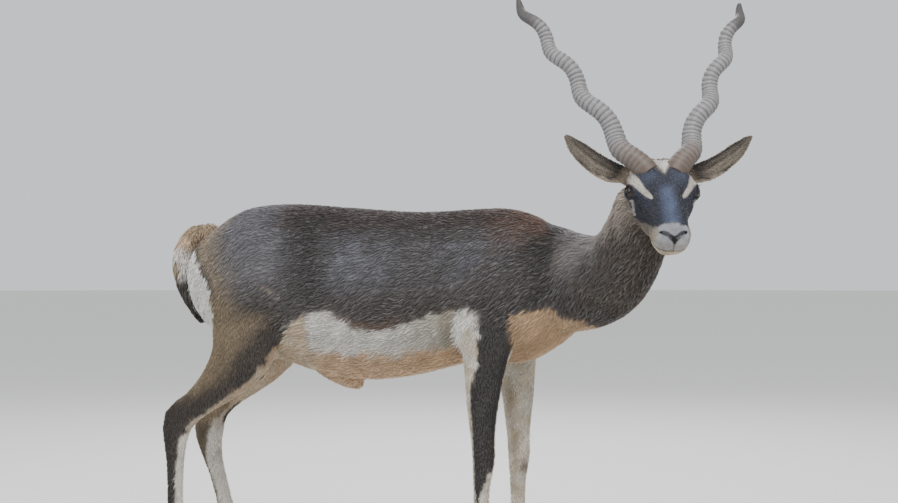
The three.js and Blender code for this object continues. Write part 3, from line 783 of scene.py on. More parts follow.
def head_colour(h):
    """The blue-black mask, the pale stripes at the eyes, the crown, the muzzle and the chin, with painted
    shade on the muzzle, the lips and the mouth line.
    """
    x, s, z = places(h)
    g = np.column_stack([x, s, z])
    soft = 0.0018 * ripple(h, 0.016, 21) + 0.0010 * ripple(h, 0.005, 22)
    brow = 0.004 + 0.020 * bell(s, 0, 0.007)
    mask = ease(-0.004, 0.004, z - line_at(MASK_EDGE, x) + 1.6 * soft)
    mask = mask * ease(-0.005, 0.006, x - brow + soft) * ease(0.143, 0.136, x + soft)
    crown = ease(0.026, 0.012, x + 1.6 * s + soft) * ease(-0.036, -0.022, x) * ease(0.022, 0.012, s)
    temple = ease(0.014, 0.0, x) * ease(0.040, 0.048, s) * ease(-0.075, -0.06, z)
    nose_top = ease(0.138, 0.143, x + soft) * ease(0.030, 0.024, s) * ease(-0.030, -0.024, z)
    chin = ease(0.112, 0.128, x) * ease(-0.046, -0.052, z)
    return paint(
        plain(CHEEK, h),
        (CREAM, 0.8 * ease(0.030, 0.020, s) * ease(-0.078, -0.090, z)),
        (MASK, mask),
        (MASK_SHEEN, 0.75 * mask * ease(-0.030, -0.010, z) * bell(s, 0.0, 0.011) * ease(0.045, 0.075, x)),
        (MASK_SHEEN, 0.22 * mask * bell(s, 0.026, 0.010) * bell(x, 0.026, 0.014)),
        (MASK_DARK, 0.7 * mask * bell(s, 0.024, 0.006) * ease(0.04, 0.07, x)),
        (MASK_DARK, 0.6 * mask * ease(-0.018, -0.030, z) * ease(0.05, 0.07, x)),
        (CROWN_BROWN, 0.8 * ease(0.002, -0.020, x)),
        (PALE_CROWN, 0.85 * crown),
        (TEMPLE_TAN, 0.8 * temple),
        (STRIPE, 0.95 * near_path(g, EYE_STRIPE, EYE_STRIPE_WIDTHS)),
        (STRIPE, 0.85 * near_path(g, UNDER_EYE, UNDER_EYE_WIDTHS)),
        # The pale muzzle painted grey brown: painted shade
        (SHADED_MUZZLE, 0.95 * ease(0.134, 0.144, x + soft) * ease(-0.014, -0.022, z - 0.3 * (s - 0.03))),
        (PALE_NOSE, 0.95 * nose_top),
        # Grey on the white lips: painted shade
        (LIP_IN_SHADE, 0.85 * ease(0.150, 0.156, x) * ease(-0.020, -0.026, z) * ease(-0.047, -0.043, z)),
        (CREAM, 0.8 * chin),
        (PINK_TAN, 0.7 * chin * ease(-0.052, -0.060, z) * ease(0.024, 0.012, s)),
        # Dark along the mouth line: painted shade in the crease of the mouth
        (MOUTH_SHADE, 0.85 * bell(mouth_gap(h), 0, 0.0016) * ease(0.108, 0.116, x)),
    )


def face_bare(h):
    """Bare dark skin: the pad of the nose, the nostrils, the gland and the rims of the lids."""
    x, s, z = places(h)
    g = np.column_stack([x, s, z])
    nostril = near_path(g, NOSTRIL, [1.35 * w for w in NOSTRIL_WIDTHS])
    pad = near_path(g, NOSE_PAD, [0.0048, 0.0072, 0.0030])
    cleft = bell(s, 0, 0.0011) * ease(0.150, 0.156, x) * ease(-0.048, -0.044, z) * ease(-0.016, -0.022, z)
    gland = near_path(g, GLAND, [0.003, 0.0042, 0.0026])
    lids = np.zeros(len(h))
    for side in (-1, 1):
        u, v, w = eye_places(h, side)
        away = lid_distance(u, v)[0]
        mine = (w > 0) & (np.hypot(u, v) < 0.03)
        lids = np.maximum(lids, np.where(mine, 1 - ease(0.0016, 0.0040, away), 0))
    return np.clip(np.maximum.reduce([nostril, pad, 0.7 * cleft, 0.85 * gland, lids]), 0, 1)


def level_axes():
    """Level ways on the head: to its left, and backwards."""
    across = unit(HEAD_AXES[:, 1] * np.array([1, 1, 0]))
    return across, -np.cross(across, [0, 0, 1])


# The ears, as the solids have them
EAR_LENGTH = 0.160
EAR_REACH = {"right": (0.82, 0.56, 0.08), "left": (0.91, 0.56, 0.08)}
EAR_HALF = [(0, 0.0150), (0.16, 0.0180), (0.34, 0.0230), (0.55, 0.0250), (0.76, 0.0230), (0.91, 0.0150),
            (1.0, 0.006)]
EAR_DROOP = [(0, 0.0), (0.16, 0.006), (0.34, 0.015), (0.55, 0.019), (0.76, 0.015), (0.91, 0.008),
             (1.0, 0.002)]


def ear_frame(side_word):
    """The ear's root, its way out to the tip, its face and the way down across it."""
    side = SIDES[side_word]
    out, rise, set_back = EAR_REACH[side_word]
    root = from_head([-0.023, side * 0.042, -0.057])
    across, back = level_axes()
    way = unit(across * side * out + np.array([0, 0, rise]) + back * set_back)
    face = unit(-back + np.array([0, 0, -0.25]))
    face = unit(face - way * (face @ way))
    down = np.cross(way, face)
    return root, way, face, -down if down[2] > 0 else down


def ear_places(co, side_word):
    """Along the ear from root (0) to tip (1), across it from upper (-1) to lower edge (1), and its face."""
    root, way, face, down = ear_frame(side_word)
    d = co - root
    t = (d @ way) / EAR_LENGTH
    for _ in range(2):
        sag = line_at(EAR_DROOP, t)
        t = (d @ way - sag * (DOWN @ way)) / (EAR_LENGTH * np.linalg.norm(EAR_REACH[side_word]))
    across = (d @ down - line_at(EAR_DROOP, t) * (DOWN @ down)) / line_at(EAR_HALF, t)
    return t, across, face


EAR_STREAKS = [(-0.35, 0.18), (0.10, 0.38), (0.45, 0.30)]


def ear_colour(co, no, side_word):
    """Dark and pale-streaked inside, tan outside, with a paler rim."""
    t, u, face = ear_places(co, side_word)
    front = ease(-0.20, 0.10, no @ face)
    blur = 0.10 * ripple(co, 0.02, 33)
    rim = np.maximum(ease(0.60, 0.86, u + blur), ease(0.80, 0.98, -u + blur))
    wavy = u + 0.06 * ripple(co, 0.05, 34)
    length_of_streak = ease(0.16, 0.40, t) * ease(0.97, 0.75, t)
    outside = paint(plain(EAR_OUTSIDE, co), (EAR_BACK_TIP, ease(0.6, 1.0, t)))
    inside = paint(
        plain(EAR_DARK, co),
        (EAR_CORE, ease(0.55, 0.25, t) * bell(u, 0.0, 0.5)),
        *[(CREAM, strength * bell(wavy, at, 0.12) * length_of_streak) for at, strength in EAR_STREAKS],
        (EAR_OUTSIDE, 0.8 * ease(0.24, 0.10, t)),
        (EAR_RIM, 0.85 * rim),
        (EAR_RIM, 0.4 * ease(0.80, 1.0, t)),
    )
    return paint(outside, (inside, front), (EAR_RIM, 0.5 * rim))


def legs_of(region, end=""):
    return sum(region[f"leg_{leg}"] for leg in LEGS if leg.startswith(end))


def coat_colour(co, no, region):
    """The markings for any places on the coat, from where they lie and the part they belong to."""
    p = co - ORIGIN
    h = to_head(co)
    hind, fore = legs_of(region, "hind"), legs_of(region, "front")
    groin = ease(-0.262, -0.278, p[:, 0]) * ease(0.585, 0.57, p[:, 2])
    colour = torso_colour(p)
    colour = belly_marks(colour, p, hind, fore)
    colour = breast_marks(colour, p, fore)
    colour = shoulder_marks(colour, p)
    colour = hindleg_marks(colour, p, np.maximum(hind, groin))
    colour = foreleg_marks(colour, p, fore)
    colour = rump_marks(colour, p, region["tail"])
    colour = neck_marks(colour, p, region["neck"])
    colour = breast_marks(colour, p, fore)
    on_head = ease(0.25, 0.6, region["head"])
    colour = paint(colour, (head_colour(h), on_head))
    for word in SIDES:
        colour = paint(colour, (ear_colour(co, no, word), ease(0.25, 0.6, region[f"ear_{word}"])))
    bare = face_bare(h) * on_head
    colour = paint(colour, (BARE_DARK, bare))
    mottle = 1 + 0.10 * ripple(p, 0.035, 41) + 0.07 * ripple(p, 0.012, 42)
    return np.clip(colour * mottle[:, None], 0.002, 1), bare


# The lie of the coat
LEG_WAY = DOWN * 1.2 + BACK * 0.15
NECK_WAY = np.array([-0.62, 0.45, -0.75])
TAIL_WAY = np.array([0.12, 0, -1.0])


def coat_flow(co, no, region):
    """The way the hair lies at any places: back and down, up the face and out along the ears."""
    p = co - ORIGIN
    flow = BACK + DOWN * 0.42 + 0 * p
    flow = flow + DOWN * 0.9 * ease(-0.32, -0.50, p[:, 0])[:, None]
    flow = flow + DOWN * 0.5 * bell(p[:, 0], 0.15, 0.08)[:, None]
    apart = 0.35 * np.sign(to_head(co)[:, 1])[:, None]
    up_face = -HEAD_AXES[:, 0] + HEAD_AXES[:, 1] * apart - 0.15 * HEAD_AXES[:, 2]
    ways = [(legs_of(region), LEG_WAY), (region["neck"], NECK_WAY), (region["tail"], TAIL_WAY),
            (region["head"], up_face)]
    for word in SIDES:
        _, way, _, down = ear_frame(word)
        ways.append((region[f"ear_{word}"], way + ear_places(co, word)[1][:, None] * down * 0.35))
    for amount, way in ways:
        amount = amount[:, None]
        flow = flow * (1 - amount) + way * amount
    flow = unit(flow - no * (flow * no).sum(1)[:, None])
    swirl = 0.16 * ripple(p, 0.09, 51)[:, None]
    return unit(flow + np.cross(no, flow) * swirl)


# Tufts: length, width, height off the skin, and how many grow on a square metre
BARREL_COAT = (0.0165, 0.0025, 0.0016, 40000)
LEG_COAT = (0.0095, 0.0016, 0.0012, 78000)
NECK_COAT = (0.0180, 0.0025, 0.0020, 42000)
TAIL_COAT = (0.0240, 0.0024, 0.0030, 60000)
FACE_COAT = (0.0062, 0.0012, 0.0007, 110000)
MUZZLE_COAT = (0.0038, 0.0009, 0.0004, 150000)
CROWN_COAT = (0.0105, 0.0015, 0.0016, 90000)
EAR_COAT = (0.0072, 0.0011, 0.0006, 110000)


def coat_size(co, region):
    """The four measures of the tufts at any places, a row to each."""
    along_face = to_head(co)[:, 0]
    head = region["head"]
    size = np.tile(np.array(BARREL_COAT, float)[:, None], len(co))
    for amount, measures in [
        (legs_of(region) * ease(0.60, 0.50, (co - ORIGIN)[:, 2]), LEG_COAT),
        (region["neck"], NECK_COAT),
        (region["tail"], TAIL_COAT),
        (head, FACE_COAT),
        (head * ease(0.10, 0.14, along_face), MUZZLE_COAT),
        (head * ease(0.012, -0.012, along_face), CROWN_COAT),
        (region["ear_right"], EAR_COAT),
        (region["ear_left"], EAR_COAT),
    ]:
        size += (np.array(measures)[:, None] - size) * amount
    return size


def skin_samples(skin, region):
    """Roots spread over the skin, as many as the coat needs at each place."""
    co = coordinates(skin)
    no = normals(skin)
    tri = read(skin.data.polygons, "vertices", 3, np.int32)
    corners = co[tri]
    cross = np.cross(corners[:, 1] - corners[:, 0], corners[:, 2] - corners[:, 0])
    area = np.linalg.norm(cross, axis=1) / 2
    bare = face_bare(to_head(co)) * ease(0.25, 0.6, region["head"])
    density = coat_size(co, region)[3] * (1 - ease(0.15, 0.5, bare))
    share = area * density[tri].mean(1)
    running = np.cumsum(share)
    count = int(running[-1])
    picks = (np.arange(count) + rng.random(count)) / count * running[-1]
    face = np.searchsorted(running, picks)
    a, b = rng.random(count), rng.random(count)
    over = a + b > 1
    a, b = np.where(over, 1 - a, a), np.where(over, 1 - b, b)
    bary = np.column_stack([1 - a - b, a, b])
    uv = read(skin.data.uv_layers["OFBake"].data, "uv", 2).reshape(-1, 3, 2)

    def blend(values):
        return (values[tri[face]] * (bary if values.ndim == 1 else bary[:, :, None])).sum(1)

    return {
        "co": blend(co),
        "no": unit(blend(no)),
        "uv": (uv[face] * bary[:, :, None]).sum(1),
        "region": {name: blend(weight) for name, weight in region.items()},
    }


# A tuft: three places round its root, three half way and its tip
TUFT_FACES = [(0, 3, 4, 1), (1, 4, 5, 2), (2, 5, 3, 0), (3, 6, 4), (4, 6, 5), (5, 6, 3), (0, 1, 2)]
TUFT_SHADE = np.array([0.76, 0.76, 0.82, 0.97, 0.97, 1.02, 1.08])
PATCH = 0.0015
TUFT_PATCH = np.array([(-1, -1), (1, -1), (0, -1), (-0.8, 0), (0.8, 0), (0, 0), (0, 1)]) * PATCH
ROOT_SUNK = 0.0007


def tuft_piece(name, root, way, no, mid, mid_no, tip, tip_no, width, lift, colour, uv, stand):
    """One mesh of many tufts: each a thin three-sided blade, sunk at its root and lying along the skin."""
    count = len(root)
    side = np.cross(no, way)
    thick = width * 0.42
    base = root - no * ROOT_SUNK
    crest = mid + mid_no * (lift + 0.0001)[:, None]
    points = np.empty((count, 7, 3))
    points[:, 0] = base - side * (width * 0.5)[:, None]
    points[:, 1] = base + side * (width * 0.5)[:, None]
    points[:, 2] = base + no * thick[:, None]
    points[:, 3] = crest - side * thick[:, None] - mid_no * (thick * 0.3)[:, None]
    points[:, 4] = crest + side * thick[:, None] - mid_no * (thick * 0.3)[:, None]
    points[:, 5] = crest + mid_no * (thick * 0.7)[:, None]
    points[:, 6] = tip + tip_no * (lift * (0.55 + stand))[:, None]
    corner = (np.arange(count) * 7)[:, None] + np.concatenate(TUFT_FACES)
    sizes = np.tile([len(face) for face in TUFT_FACES], count)
    mesh = bpy.data.meshes.new(name)
    mesh.vertices.add(count * 7)
    mesh.vertices.foreach_set("co", points.astype(np.float32).ravel())
    mesh.loops.add(corner.size)
    mesh.loops.foreach_set("vertex_index", corner.astype(np.int32).ravel())
    mesh.polygons.add(len(sizes))
    mesh.polygons.foreach_set("loop_start", (np.cumsum(sizes) - sizes).astype(np.int32))
    shade_smooth(mesh)
    mesh.update(calc_edges=True)
    piece = bpy.data.objects.new(name, mesh)
    scene.collection.objects.link(piece)
    shaded = np.clip(colour[:, None, :] * TUFT_SHADE[None, :, None], 0, 1)
    store(piece, "coat_colour", shaded.reshape(-1, 3))
    layer = mesh.uv_layers.new(name="OFBake")
    each = (uv[:, None, :] + TUFT_PATCH).reshape(-1, 2)
    layer.data.foreach_set("uv", each[corner.ravel()].astype(np.float32).ravel())
    return piece


def lay_along(tree, root, way, length):
    """The places and normals on the skin half a tuft and a whole tuft along its way."""
    found = []
    for share in (0.5, 1.0):
        ahead = root + way * (length * share)[:, None]
        nearest = [tree.find_nearest(Vector(p)) for p in ahead]
        found += [np.array([f[0] for f in nearest]), np.array([f[1] for f in nearest])]
    return found


PIECE_LIMIT = 19500
FLECK_GREY = tone(128, 126, 128)
FLECK_SHARE = 0.14


def grow_coat(skin, region, material):
    """The tufts, in pieces of a part of the body each. The random draws come in a fixed order."""
    samples = skin_samples(skin, region)
    co, no, parts = samples["co"], samples["no"], samples["region"]
    count = len(co)
    way = coat_flow(co, no, parts)
    way = unit(way + np.cross(no, way) * rng.normal(0, 0.20, count)[:, None])
    length, width, lift, _ = coat_size(co, parts)
    length = length * rng.uniform(0.75, 1.25, count)
    width = width * rng.uniform(0.75, 1.25, count)
    lift = lift * rng.uniform(0.6, 1.4, count)
    colour, _ = coat_colour(co, no, parts)
    on_head = np.clip(parts["head"] + parts["ear_right"] + parts["ear_left"], 0, 1)
    colour = colour * np.exp(rng.normal(0, 1, count) * (0.10 - 0.04 * on_head))[:, None]
    off_barrel = parts["head"] + legs_of(parts)
    fleck = (rng.random(count) < FLECK_SHARE) * (colour.mean(1) < 0.2) * (off_barrel < 0.4)
    colour = paint(colour, (FLECK_GREY, 0.32 * fleck))
    tree = BVHTree.FromObject(skin, bpy.context.evaluated_depsgraph_get())
    mid, mid_no, tip, tip_no = lay_along(tree, co, way, length)
    stand = rng.uniform(0, 0.7, count)
    tufts = {
        "root": co, "way": way, "no": no, "mid": mid, "mid_no": mid_no, "tip": tip, "tip_no": tip_no,
        "width": width, "lift": lift, "colour": colour, "uv": samples["uv"], "stand": stand,
    }
    body_side = np.where(co[:, 1] > ORIGIN[1], "left", "right")
    strongest = np.array(REGIONS)[np.argmax(np.stack([parts[n] for n in REGIONS]), axis=0)]
    label = np.where(strongest == "torso", np.char.add("barrel_", body_side), strongest)
    for part in sorted(set(label)):
        chosen = np.nonzero(label == part)[0]
        order = chosen[np.argsort(co[chosen, 0])]
        lots = max(1, math.ceil(len(order) / PIECE_LIMIT))
        for lot, mine in enumerate(np.array_split(order, lots)):
            name = f"coat_{part}" + (f"_{lot + 1}" if lots > 1 else "")
            piece = tuft_piece(name, **{key: values[mine] for key, values in tufts.items()})
            piece.data.materials.append(material)
            place_piece(piece, slot_of(part))


def slot_of(part):
    word = part.split("_")[0]
    return "coat_torso" if word == "barrel" else f"coat_{word}"


def place_piece(piece, slot_name, *nodes):
    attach(piece, "root")
    if nodes:
        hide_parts(*nodes)


# Materials
def add_node(tree, kind, **settings):
    node = tree.nodes.new(f"ShaderNode{kind}")
    for name, value in settings.items():
        setattr(node, name, value)
    return node


def fill(node, values):
    for name, value in values.items():
        node.inputs[name].default_value = value


def new_material(name, shader_values):
    material = bpy.data.materials.new(name)
    material.use_nodes = True
    tree = material.node_tree
    shader = tree.nodes["Principled BSDF"]
    fill(shader, shader_values)
    return material, tree, shader


def grain_group():
    """Fine variation for coat, horn and hoof: a colour made lighter and darker, and a height for bump."""
    group = bpy.data.node_groups.new("fine_grain", "ShaderNodeTree")
    for name, way, kind in [
        ("Colour", "INPUT", "Color"), ("Size", "INPUT", "Float"), ("Contrast", "INPUT", "Float"),
        ("Stretch", "INPUT", "Vector"), ("Colour", "OUTPUT", "Color"), ("Height", "OUTPUT", "Float"),
    ]:
        group.interface.new_socket(name, in_out=way, socket_type=f"NodeSocket{kind}")
    given, result = group.nodes.new("NodeGroupInput"), group.nodes.new("NodeGroupOutput")
    where = add_node(group, "TexCoord")
    squeeze = add_node(group, "VectorMath", operation="MULTIPLY")
    noise = add_node(group, "TexNoise")
    fill(noise, {"Detail": 4})
    centred = add_node(group, "Math", operation="SUBTRACT")
    fill(centred, {1: 0.5})
    swing = add_node(group, "Math", operation="MULTIPLY_ADD")
    fill(swing, {2: 1.0})
    scaled = add_node(group, "VectorMath", operation="SCALE")
    for source, output, target, socket in [
        (where, "Object", squeeze, 0), (given, "Stretch", squeeze, 1), (squeeze, 0, noise, "Vector"),
        (given, "Size", noise, "Scale"), (noise, "Fac", centred, 0), (centred, 0, swing, 0),
        (given, "Contrast", swing, 1), (given, "Colour", scaled, 0), (swing, 0, scaled, "Scale"),
        (scaled, 0, result, "Colour"), (noise, "Fac", result, "Height"),
    ]:
        group.links.new(source.outputs[output], target.inputs[socket])
    return group


GRAIN = grain_group()
BUMP_DISTANCE = 0.001
SHEEN_ROUGHNESS = 0.45


def material_with_grain(
    name, colour, size, contrast, stretch, bump, roughness, specular, attribute=None, sheen=0.0
):
    """A plain or stored colour with the grain over it, as colour and as bump."""
    material, tree, shader = new_material(name, {"Roughness": roughness, "Specular IOR Level": specular})
    grain = add_node(tree, "Group", node_tree=GRAIN)
    fill(grain, {"Size": size, "Contrast": contrast, "Stretch": stretch, "Colour": (*colour, 1)})
    if attribute:
        stored = add_node(tree, "Attribute", attribute_name=attribute)
        tree.links.new(stored.outputs["Color"], grain.inputs["Colour"])
    tree.links.new(grain.outputs["Colour"], shader.inputs["Base Color"])
    relief = add_node(tree, "Bump")
    fill(relief, {"Strength": bump, "Distance": BUMP_DISTANCE})
    tree.links.new(grain.outputs["Height"], relief.inputs["Height"])
    tree.links.new(relief.outputs["Normal"], shader.inputs["Normal"])
    if sheen:
        fill(shader, {"Sheen Weight": sheen, "Sheen Roughness": SHEEN_ROUGHNESS})
    return material


SKIN_ROUGH, BARE_ROUGH = 0.8, 0.34


def skin_material():
    """The skin under the tufts, glossier where it is bare."""
    material = material_with_grain(
        "short_coat", (0.1, 0.1, 0.1), 420, 0.5, (1, 1, 1), 0.5, SKIN_ROUGH, 0.25, "coat_colour"
    )
    tree = material.node_tree
    wet = add_node(tree, "Attribute", attribute_name="bare_skin")
    gloss = add_node(tree, "MapRange")
    fill(gloss, {"To Min": SKIN_ROUGH, "To Max": BARE_ROUGH})
    tree.links.new(wet.outputs["Fac"], gloss.inputs["Value"])
    tree.links.new(gloss.outputs["Result"], tree.nodes["Principled BSDF"].inputs["Roughness"])
    return material


def eye_material():
    material, tree, shader = new_material(
        "dark_eye",
        {"Roughness": 0.18, "Specular IOR Level": 0.22, "Coat Weight": 0.25, "Coat Roughness": 0.03},
    )
    stored = add_node(tree, "Attribute", attribute_name="eye_colour")
    tree.links.new(stored.outputs["Color"], shader.inputs["Base Color"])
    return material


# Eyes
EYE_EDGE, IRIS, PUPIL = tone(34, 25, 20), tone(32, 22, 16), tone(6, 6, 8)
CORNEA_RISE = 0.0009


def make_eye(word, material):
    """A ball with a slightly raised cornea over a dark brown iris and a long level pupil."""
    side = SIDES[word]
    out, along, up = eye_axes(side)
    bpy.ops.object.select_all(action="DESELECT")
    bpy.ops.mesh.primitive_uv_sphere_add(segments=48, ring_count=32, radius=EYE_RADIUS)
    eye = bpy.context.object
    eye.name = eye.data.name = f"eyeball_{word}"
    ball = coordinates(eye)
    d = unit(ball)
    front = d[:, 2] > 0
    ball = ball + d * (CORNEA_RISE * ease(math.cos(0.80), 1.0, d[:, 2]))[:, None]
    iris = ease(0.66, 0.62, np.hypot(d[:, 0], d[:, 1]))
    pupil = 1 - ease(0.85, 1.1, np.hypot(d[:, 0] / 0.42, d[:, 1] / 0.22))
    store(eye, "eye_colour", paint(plain(EYE_EDGE, d), (IRIS, iris * front), (PUPIL, pupil * front)))
    turned = ball[:, :1] * along + ball[:, 1:2] * up + ball[:, 2:] * out
    move_to(eye, from_head(eye_centre(side) + turned))
    edit_all(eye, bpy.ops.mesh.normals_make_consistent, inside=False)
    bpy.ops.object.shade_smooth()
    eye.data.materials.append(material)
    place_piece(eye, "eye", f"eye_{word}")


# Horns: how far out, back and up they reach, and how much they bow outwards
HORN_REACH = {"right": (0.214, 0.215, 0.350, 0.08), "left": (0.172, 0.190, 0.340, 0.06)}
HORN_SEED = {"right": 61, "left": 62}
HORN_RADIUS = 0.0232
HORN_RIDGE, HORN_GROOVE, HORN_BASE = tone(118, 117, 119), tone(72, 69, 69), tone(78, 64, 53)
HORN_RINGS, ROWS_PER_RING, HORN_SIDES = 44, 6, 36
RINGED_PART = 0.86
HORN_SUNK = 0.03
SIDE_PAIRS = [(j, (j + 1) % HORN_SIDES) for j in range(HORN_SIDES)]


def horn_radius(t):
    shaft = HORN_RADIUS - 0.011 * min(t / 0.85, 1) ** 0.5
    if t <= 0.82:
        return shaft
    return shaft * math.sqrt(max(1 - ((t - 0.82) / 0.19) ** 2, 0.004))


def horn_centre(word, t):
    """The middle of the horn at t, as its long line with a winding round it."""
    side = SIDES[word]
    out_reach, back_reach, up_reach, bow = HORN_REACH[word]
    across, back = level_axes()
    base = from_head([-0.006, side * 0.031, -0.014])
    axis = across * side * out_reach + back * back_reach + np.array([0, 0, up_reach])
    outwards = across * side
    outwards = unit(outwards - axis * (outwards @ axis) / (axis @ axis))
    backwards = back - axis * (back @ axis) / (axis @ axis)
    backwards = unit(backwards - outwards * (backwards @ outwards))
    turn = 2 * math.pi * (3.2 * (t - 0.175) + 0.8 * (t - 0.175) ** 2)
    wind = 0.008 * min(max(t, 0) / 0.12, 1) * (1 - 0.25 * t)
    swell = bow * t * max(1 - t, 0) ** 3.5
    winding = outwards * (swell - wind * math.sin(turn)) + backwards * (wind * math.cos(turn))
    return base + axis * t + winding


def make_horn(word, material):
    """Rings that rise slowly and drop off sharply, weaker at the back and towards the smooth tip."""
    rows = int(HORN_RINGS / RINGED_PART) * ROWS_PER_RING
    draw = np.random.default_rng(HORN_SEED[word])
    strength = draw.uniform(0.75, 1.2, HORN_RINGS + 8)
    lean = draw.normal(0, 0.0006, HORN_RINGS + 8)
    angles = np.linspace(0, 2 * math.pi, HORN_SIDES, endpoint=False)
    points, shade = [], []
    side_way = None
    for t in (-HORN_SUNK + (1 + HORN_SUNK) * i / rows for i in range(rows + 1)):
        on_horn = max(t, 0)
        start = horn_centre(word, on_horn)
        along = unit(horn_centre(word, on_horn + 0.004) - start)
        here = start + along * min(t, 0) * 0.45
        if side_way is None:
            side_way = unit(np.cross(along, HEAD_AXES[:, 0]))
        side_way = unit(side_way - along * (side_way @ along))
        other = np.cross(along, side_way)
        place = on_horn / RINGED_PART * HORN_RINGS
        ring, within = min(int(place), HORN_RINGS + 7), place - int(place)
        saw = math.sin(math.pi * within) ** 1.6 * (1.25 - 0.5 * within)
        fade = float(ease(1.0, 0.9, t / RINGED_PART)) * float(ease(-0.01, 0.16, t) * 0.7 + 0.3)
        tint = HORN_GROOVE + (HORN_RIDGE - HORN_GROOVE) * min(saw * fade * 2, 1)
        tint = tint + (HORN_BASE - tint) * 0.75 * float(ease(0.20, 0.04, t))
        shade += [tint * (1.08 - 0.42 * max(t - 0.8, 0) / 0.2)] * HORN_SIDES
        for angle in angles:
            ridge = 0.0019 * strength[ring] * saw * fade * (0.75 + 0.25 * math.cos(angle))
            groove = 0.00022 * math.sin(angle * 17 + 9 * t)
            r = horn_radius(on_horn) - 0.0006 + ridge + groove
            round_way = side_way * math.cos(angle) + other * math.sin(angle)
            points.append(here + along * lean[ring] * math.sin(angle) + round_way * r)
    points.append(horn_centre(word, 1.0) + along * 0.001)
    shade.append(HORN_RIDGE * 0.6)
    faces = []
    for i in range(rows):
        low, high = i * HORN_SIDES, (i + 1) * HORN_SIDES
        for j, k in SIDE_PAIRS:
            faces.append((low + j, low + k, high + k, high + j))
    faces += [(rows * HORN_SIDES + j, rows * HORN_SIDES + k, len(points) - 1) for j, k in SIDE_PAIRS]
    faces.append(tuple(range(HORN_SIDES - 1, -1, -1)))
    horn = new_mesh(f"ringed_horn_{word}", points, faces)
    store(horn, "horn_colour", np.array(shade))
    horn.data.materials.append(material)
    place_piece(horn, "horn", f"horn_{word}")


# Hooves
HOOF_DARK = tuple(tone(34, 30, 28))
HOOF_ROUNDING = 3
CLAW_SCALE = np.array([0.52, 1.2, 0.66])
CLAW_FORWARD = 0.003
TUCK_UP, TUCK_BACK = 0.009, 0.004


def make_hoof(node, label, material):
    """A toe or a dewclaw: the solid's shape rounded. A toe's top is tucked up into the coat."""
    toe = copy_of(node)
    toe.name = toe.data.name = label
    solid = coordinates(toe)
    low, high = solid.min(0), solid.max(0)
    rounding = {"levels": HOOF_ROUNDING, "render_levels": HOOF_ROUNDING}
    finish_with(toe, "SUBSURF", subdivision_type="CATMULL_CLARK", **rounding)
    co = coordinates(toe)
    share = (co - co.min(0)) / (co.max(0) - co.min(0))
    co = low + share * (high - low)
    if label.startswith("claw"):
        top = np.array([high[0] + CLAW_FORWARD, (low[1] + high[1]) / 2, high[2]])
        co = top + (co - top) * CLAW_SCALE
    else:
        tucked = ease(0.55, 1.0, share[:, 2]) * ease(0.10, 0.55, share[:, 0])
        co[:, 2] += TUCK_UP * tucked
        co[:, 0] -= TUCK_BACK * tucked * share[:, 0]
    move_to(toe, co)
    shade_smooth(toe.data)
    toe.data.materials.clear()
    toe.data.materials.append(material)
    place_piece(toe, "hoof", node)


# Lashes
LASHES = 22
LASH_HALF_WIDTH = 0.00022
LASH_CURVE = 0.12
LASH_DARK = tone(20, 18, 18)


def make_lashes(material):
    """Single long hairs along the upper lids, each curved a little and thinning to its tip."""
    for word, side in SIDES.items():
        out, along, up = eye_axes(side)
        points, faces = [], []
        lengths = rng.uniform(0.006, 0.009, LASHES)
        for i, (u, length) in enumerate(zip(np.linspace(-0.011, 0.009, LASHES), lengths)):
            v = UPPER_LID * (1 - (u / LID_HALF_LENGTH) ** 2) + 0.0006
            w = math.sqrt(max((EYE_RADIUS + 0.0012) ** 2 - u * u - v * v, 1e-6))
            root = from_head(eye_centre(side) + along * u + up * v + out * w)
            way = unit(HEAD_AXES @ (out + up * 0.15 + along * (u * 18)))
            over = unit(np.cross(way, HEAD_AXES[:, 2] + 0.01))
            lift = np.cross(over, way)
            for share, half in ((0, LASH_HALF_WIDTH), (0.5, 0.7 * LASH_HALF_WIDTH)):
                at = root + (way * share + lift * LASH_CURVE * share**2) * length
                points += [at - over * half, at + over * half, at + lift * half * 1.6]
            points.append(root + (way + lift * LASH_CURVE) * length)
            faces += [tuple(7 * i + k for k in face) for face in TUFT_FACES]
        lashes = new_mesh(f"lashes_{word}", points, faces)
        store(lashes, "coat_colour", plain(LASH_DARK, points))
        lashes.data.materials.append(material)
        place_piece(lashes, "coat_head")


# Building the animal
short_coat = skin_material()
tuft_coat = material_with_grain(
    "coat_tufts", (0.1, 0.1, 0.1), 900, 0.35, (1, 1, 1), 0.15, 0.62, 0.35, "coat_colour", 0.12
)
skin = make_skin()
region = skin_regions(skin)
marks, bare_skin = coat_colour(coordinates(skin), normals(skin), region)
under_coat = 0.72 + 0.28 * bare_skin
store(skin, "coat_colour", marks * under_coat[:, None])
store(skin, "bare_skin", bare_skin)
skin.data.materials.append(short_coat)
place_piece(skin, "coat_torso", *FLESH)
grow_coat(skin, region, tuft_coat)

glossy = eye_material()
horn_finish = material_with_grain(
    "ringed_horn", (0.2, 0.17, 0.15), 260, 0.7, (1, 1, 0.35), 0.55, 0.55, 0.4, "horn_colour"
)
hoof_finish = material_with_grain("hoof_horn", HOOF_DARK, 300, 0.6, (1, 1, 0.2), 0.35, 0.5, 0.45)
for word in SIDES:
    make_eye(word, glossy)
    make_horn(word, horn_finish)
for leg in LEGS:
    for which in ("outer", "inner"):
        make_hoof(f"hoof_{leg}_{which}", f"toe_{leg}_{which}", hoof_finish)
        make_hoof(f"dewclaw_{leg}_{which}", f"claw_{leg}_{which}", hoof_finish)
make_lashes(tuft_coat)


# Floor, light and camera
FLOOR_TONE = tuple(tone(228, 227, 224))
FLOOR_RADIUS = 60


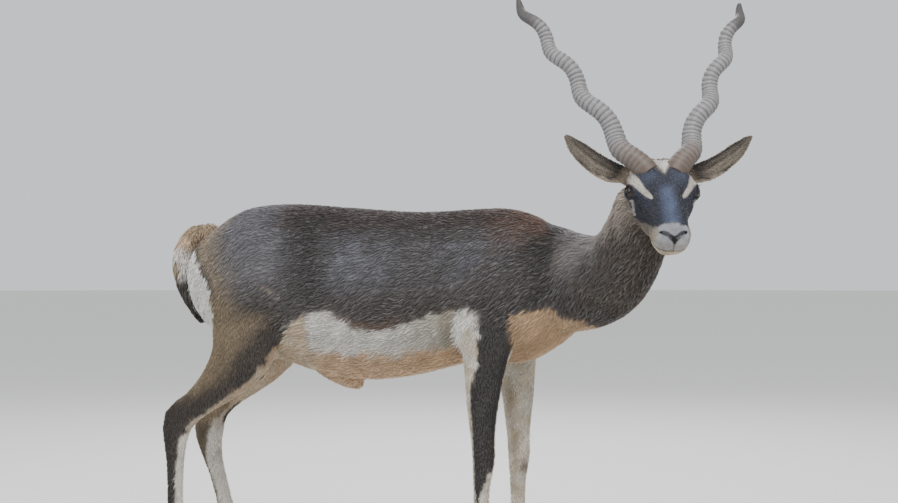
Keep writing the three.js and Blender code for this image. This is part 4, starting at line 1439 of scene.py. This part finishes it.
def make_floor():
    bpy.ops.object.select_all(action="DESELECT")
    bpy.ops.mesh.primitive_circle_add(vertices=128, radius=FLOOR_RADIUS, fill_type="NGON")
    floor = bpy.context.object
    floor.name = "floor"
    material, _, _ = new_material(
        "plain_floor", {"Base Color": (*FLOOR_TONE, 1), "Roughness": 0.9, "Specular IOR Level": 0.1}
    )
    floor.data.materials.append(material)


def make_light(name, place, target, size, power, colour):
    light = bpy.data.lights.new(name, "AREA")
    light.shape, light.size, light.energy, light.color = "DISK", size, power, colour
    lamp = bpy.data.objects.new(name, light)
    lamp.location = place
    lamp.rotation_euler = (Vector(target) - Vector(place)).to_track_quat("-Z", "Y").to_euler()
    scene.collection.objects.link(lamp)


def make_world():
    world = bpy.data.worlds.new("soft_room")
    world.use_nodes = True
    fill(world.node_tree.nodes["Background"], {"Color": (0.86, 0.88, 0.91, 1), "Strength": 1.0})
    scene.world = world


# The camera, from under the middle of the barrel: turned towards the head end and looking slightly up
CAMERA_TURN = math.radians(20)
CAMERA_DISTANCE = 3.0
CAMERA_HEIGHT = 0.65
CAMERA_PITCH = math.radians(0.935)
CAMERA_LENS = 57.73


def make_camera():
    camera = bpy.data.cameras.new("camera")
    camera.lens = CAMERA_LENS
    camera.sensor_width = 36
    holder = bpy.data.objects.new("camera", camera)
    offset = np.array([math.sin(CAMERA_TURN), -math.cos(CAMERA_TURN), 0]) * CAMERA_DISTANCE
    holder.location = Vector(ORIGIN + offset + np.array([0, 0, CAMERA_HEIGHT]))
    holder.rotation_euler = (math.pi / 2 + CAMERA_PITCH, 0, CAMERA_TURN)
    scene.collection.objects.link(holder)
    scene.camera = holder


make_floor()
make_world()
make_light("key", (1.4, -2.2, 3.8), (0, 0, 0.6), 2.4, 210, (1.0, 0.98, 0.95))
make_light("fill", (-2.8, -2.4, 2.4), (-0.1, 0, 0.6), 2.4, 60, (0.90, 0.95, 1.0))
make_light("back", (-0.8, 3.0, 3.2), (0, 0, 0.7), 2.2, 90, (0.95, 0.97, 1.0))
make_camera()
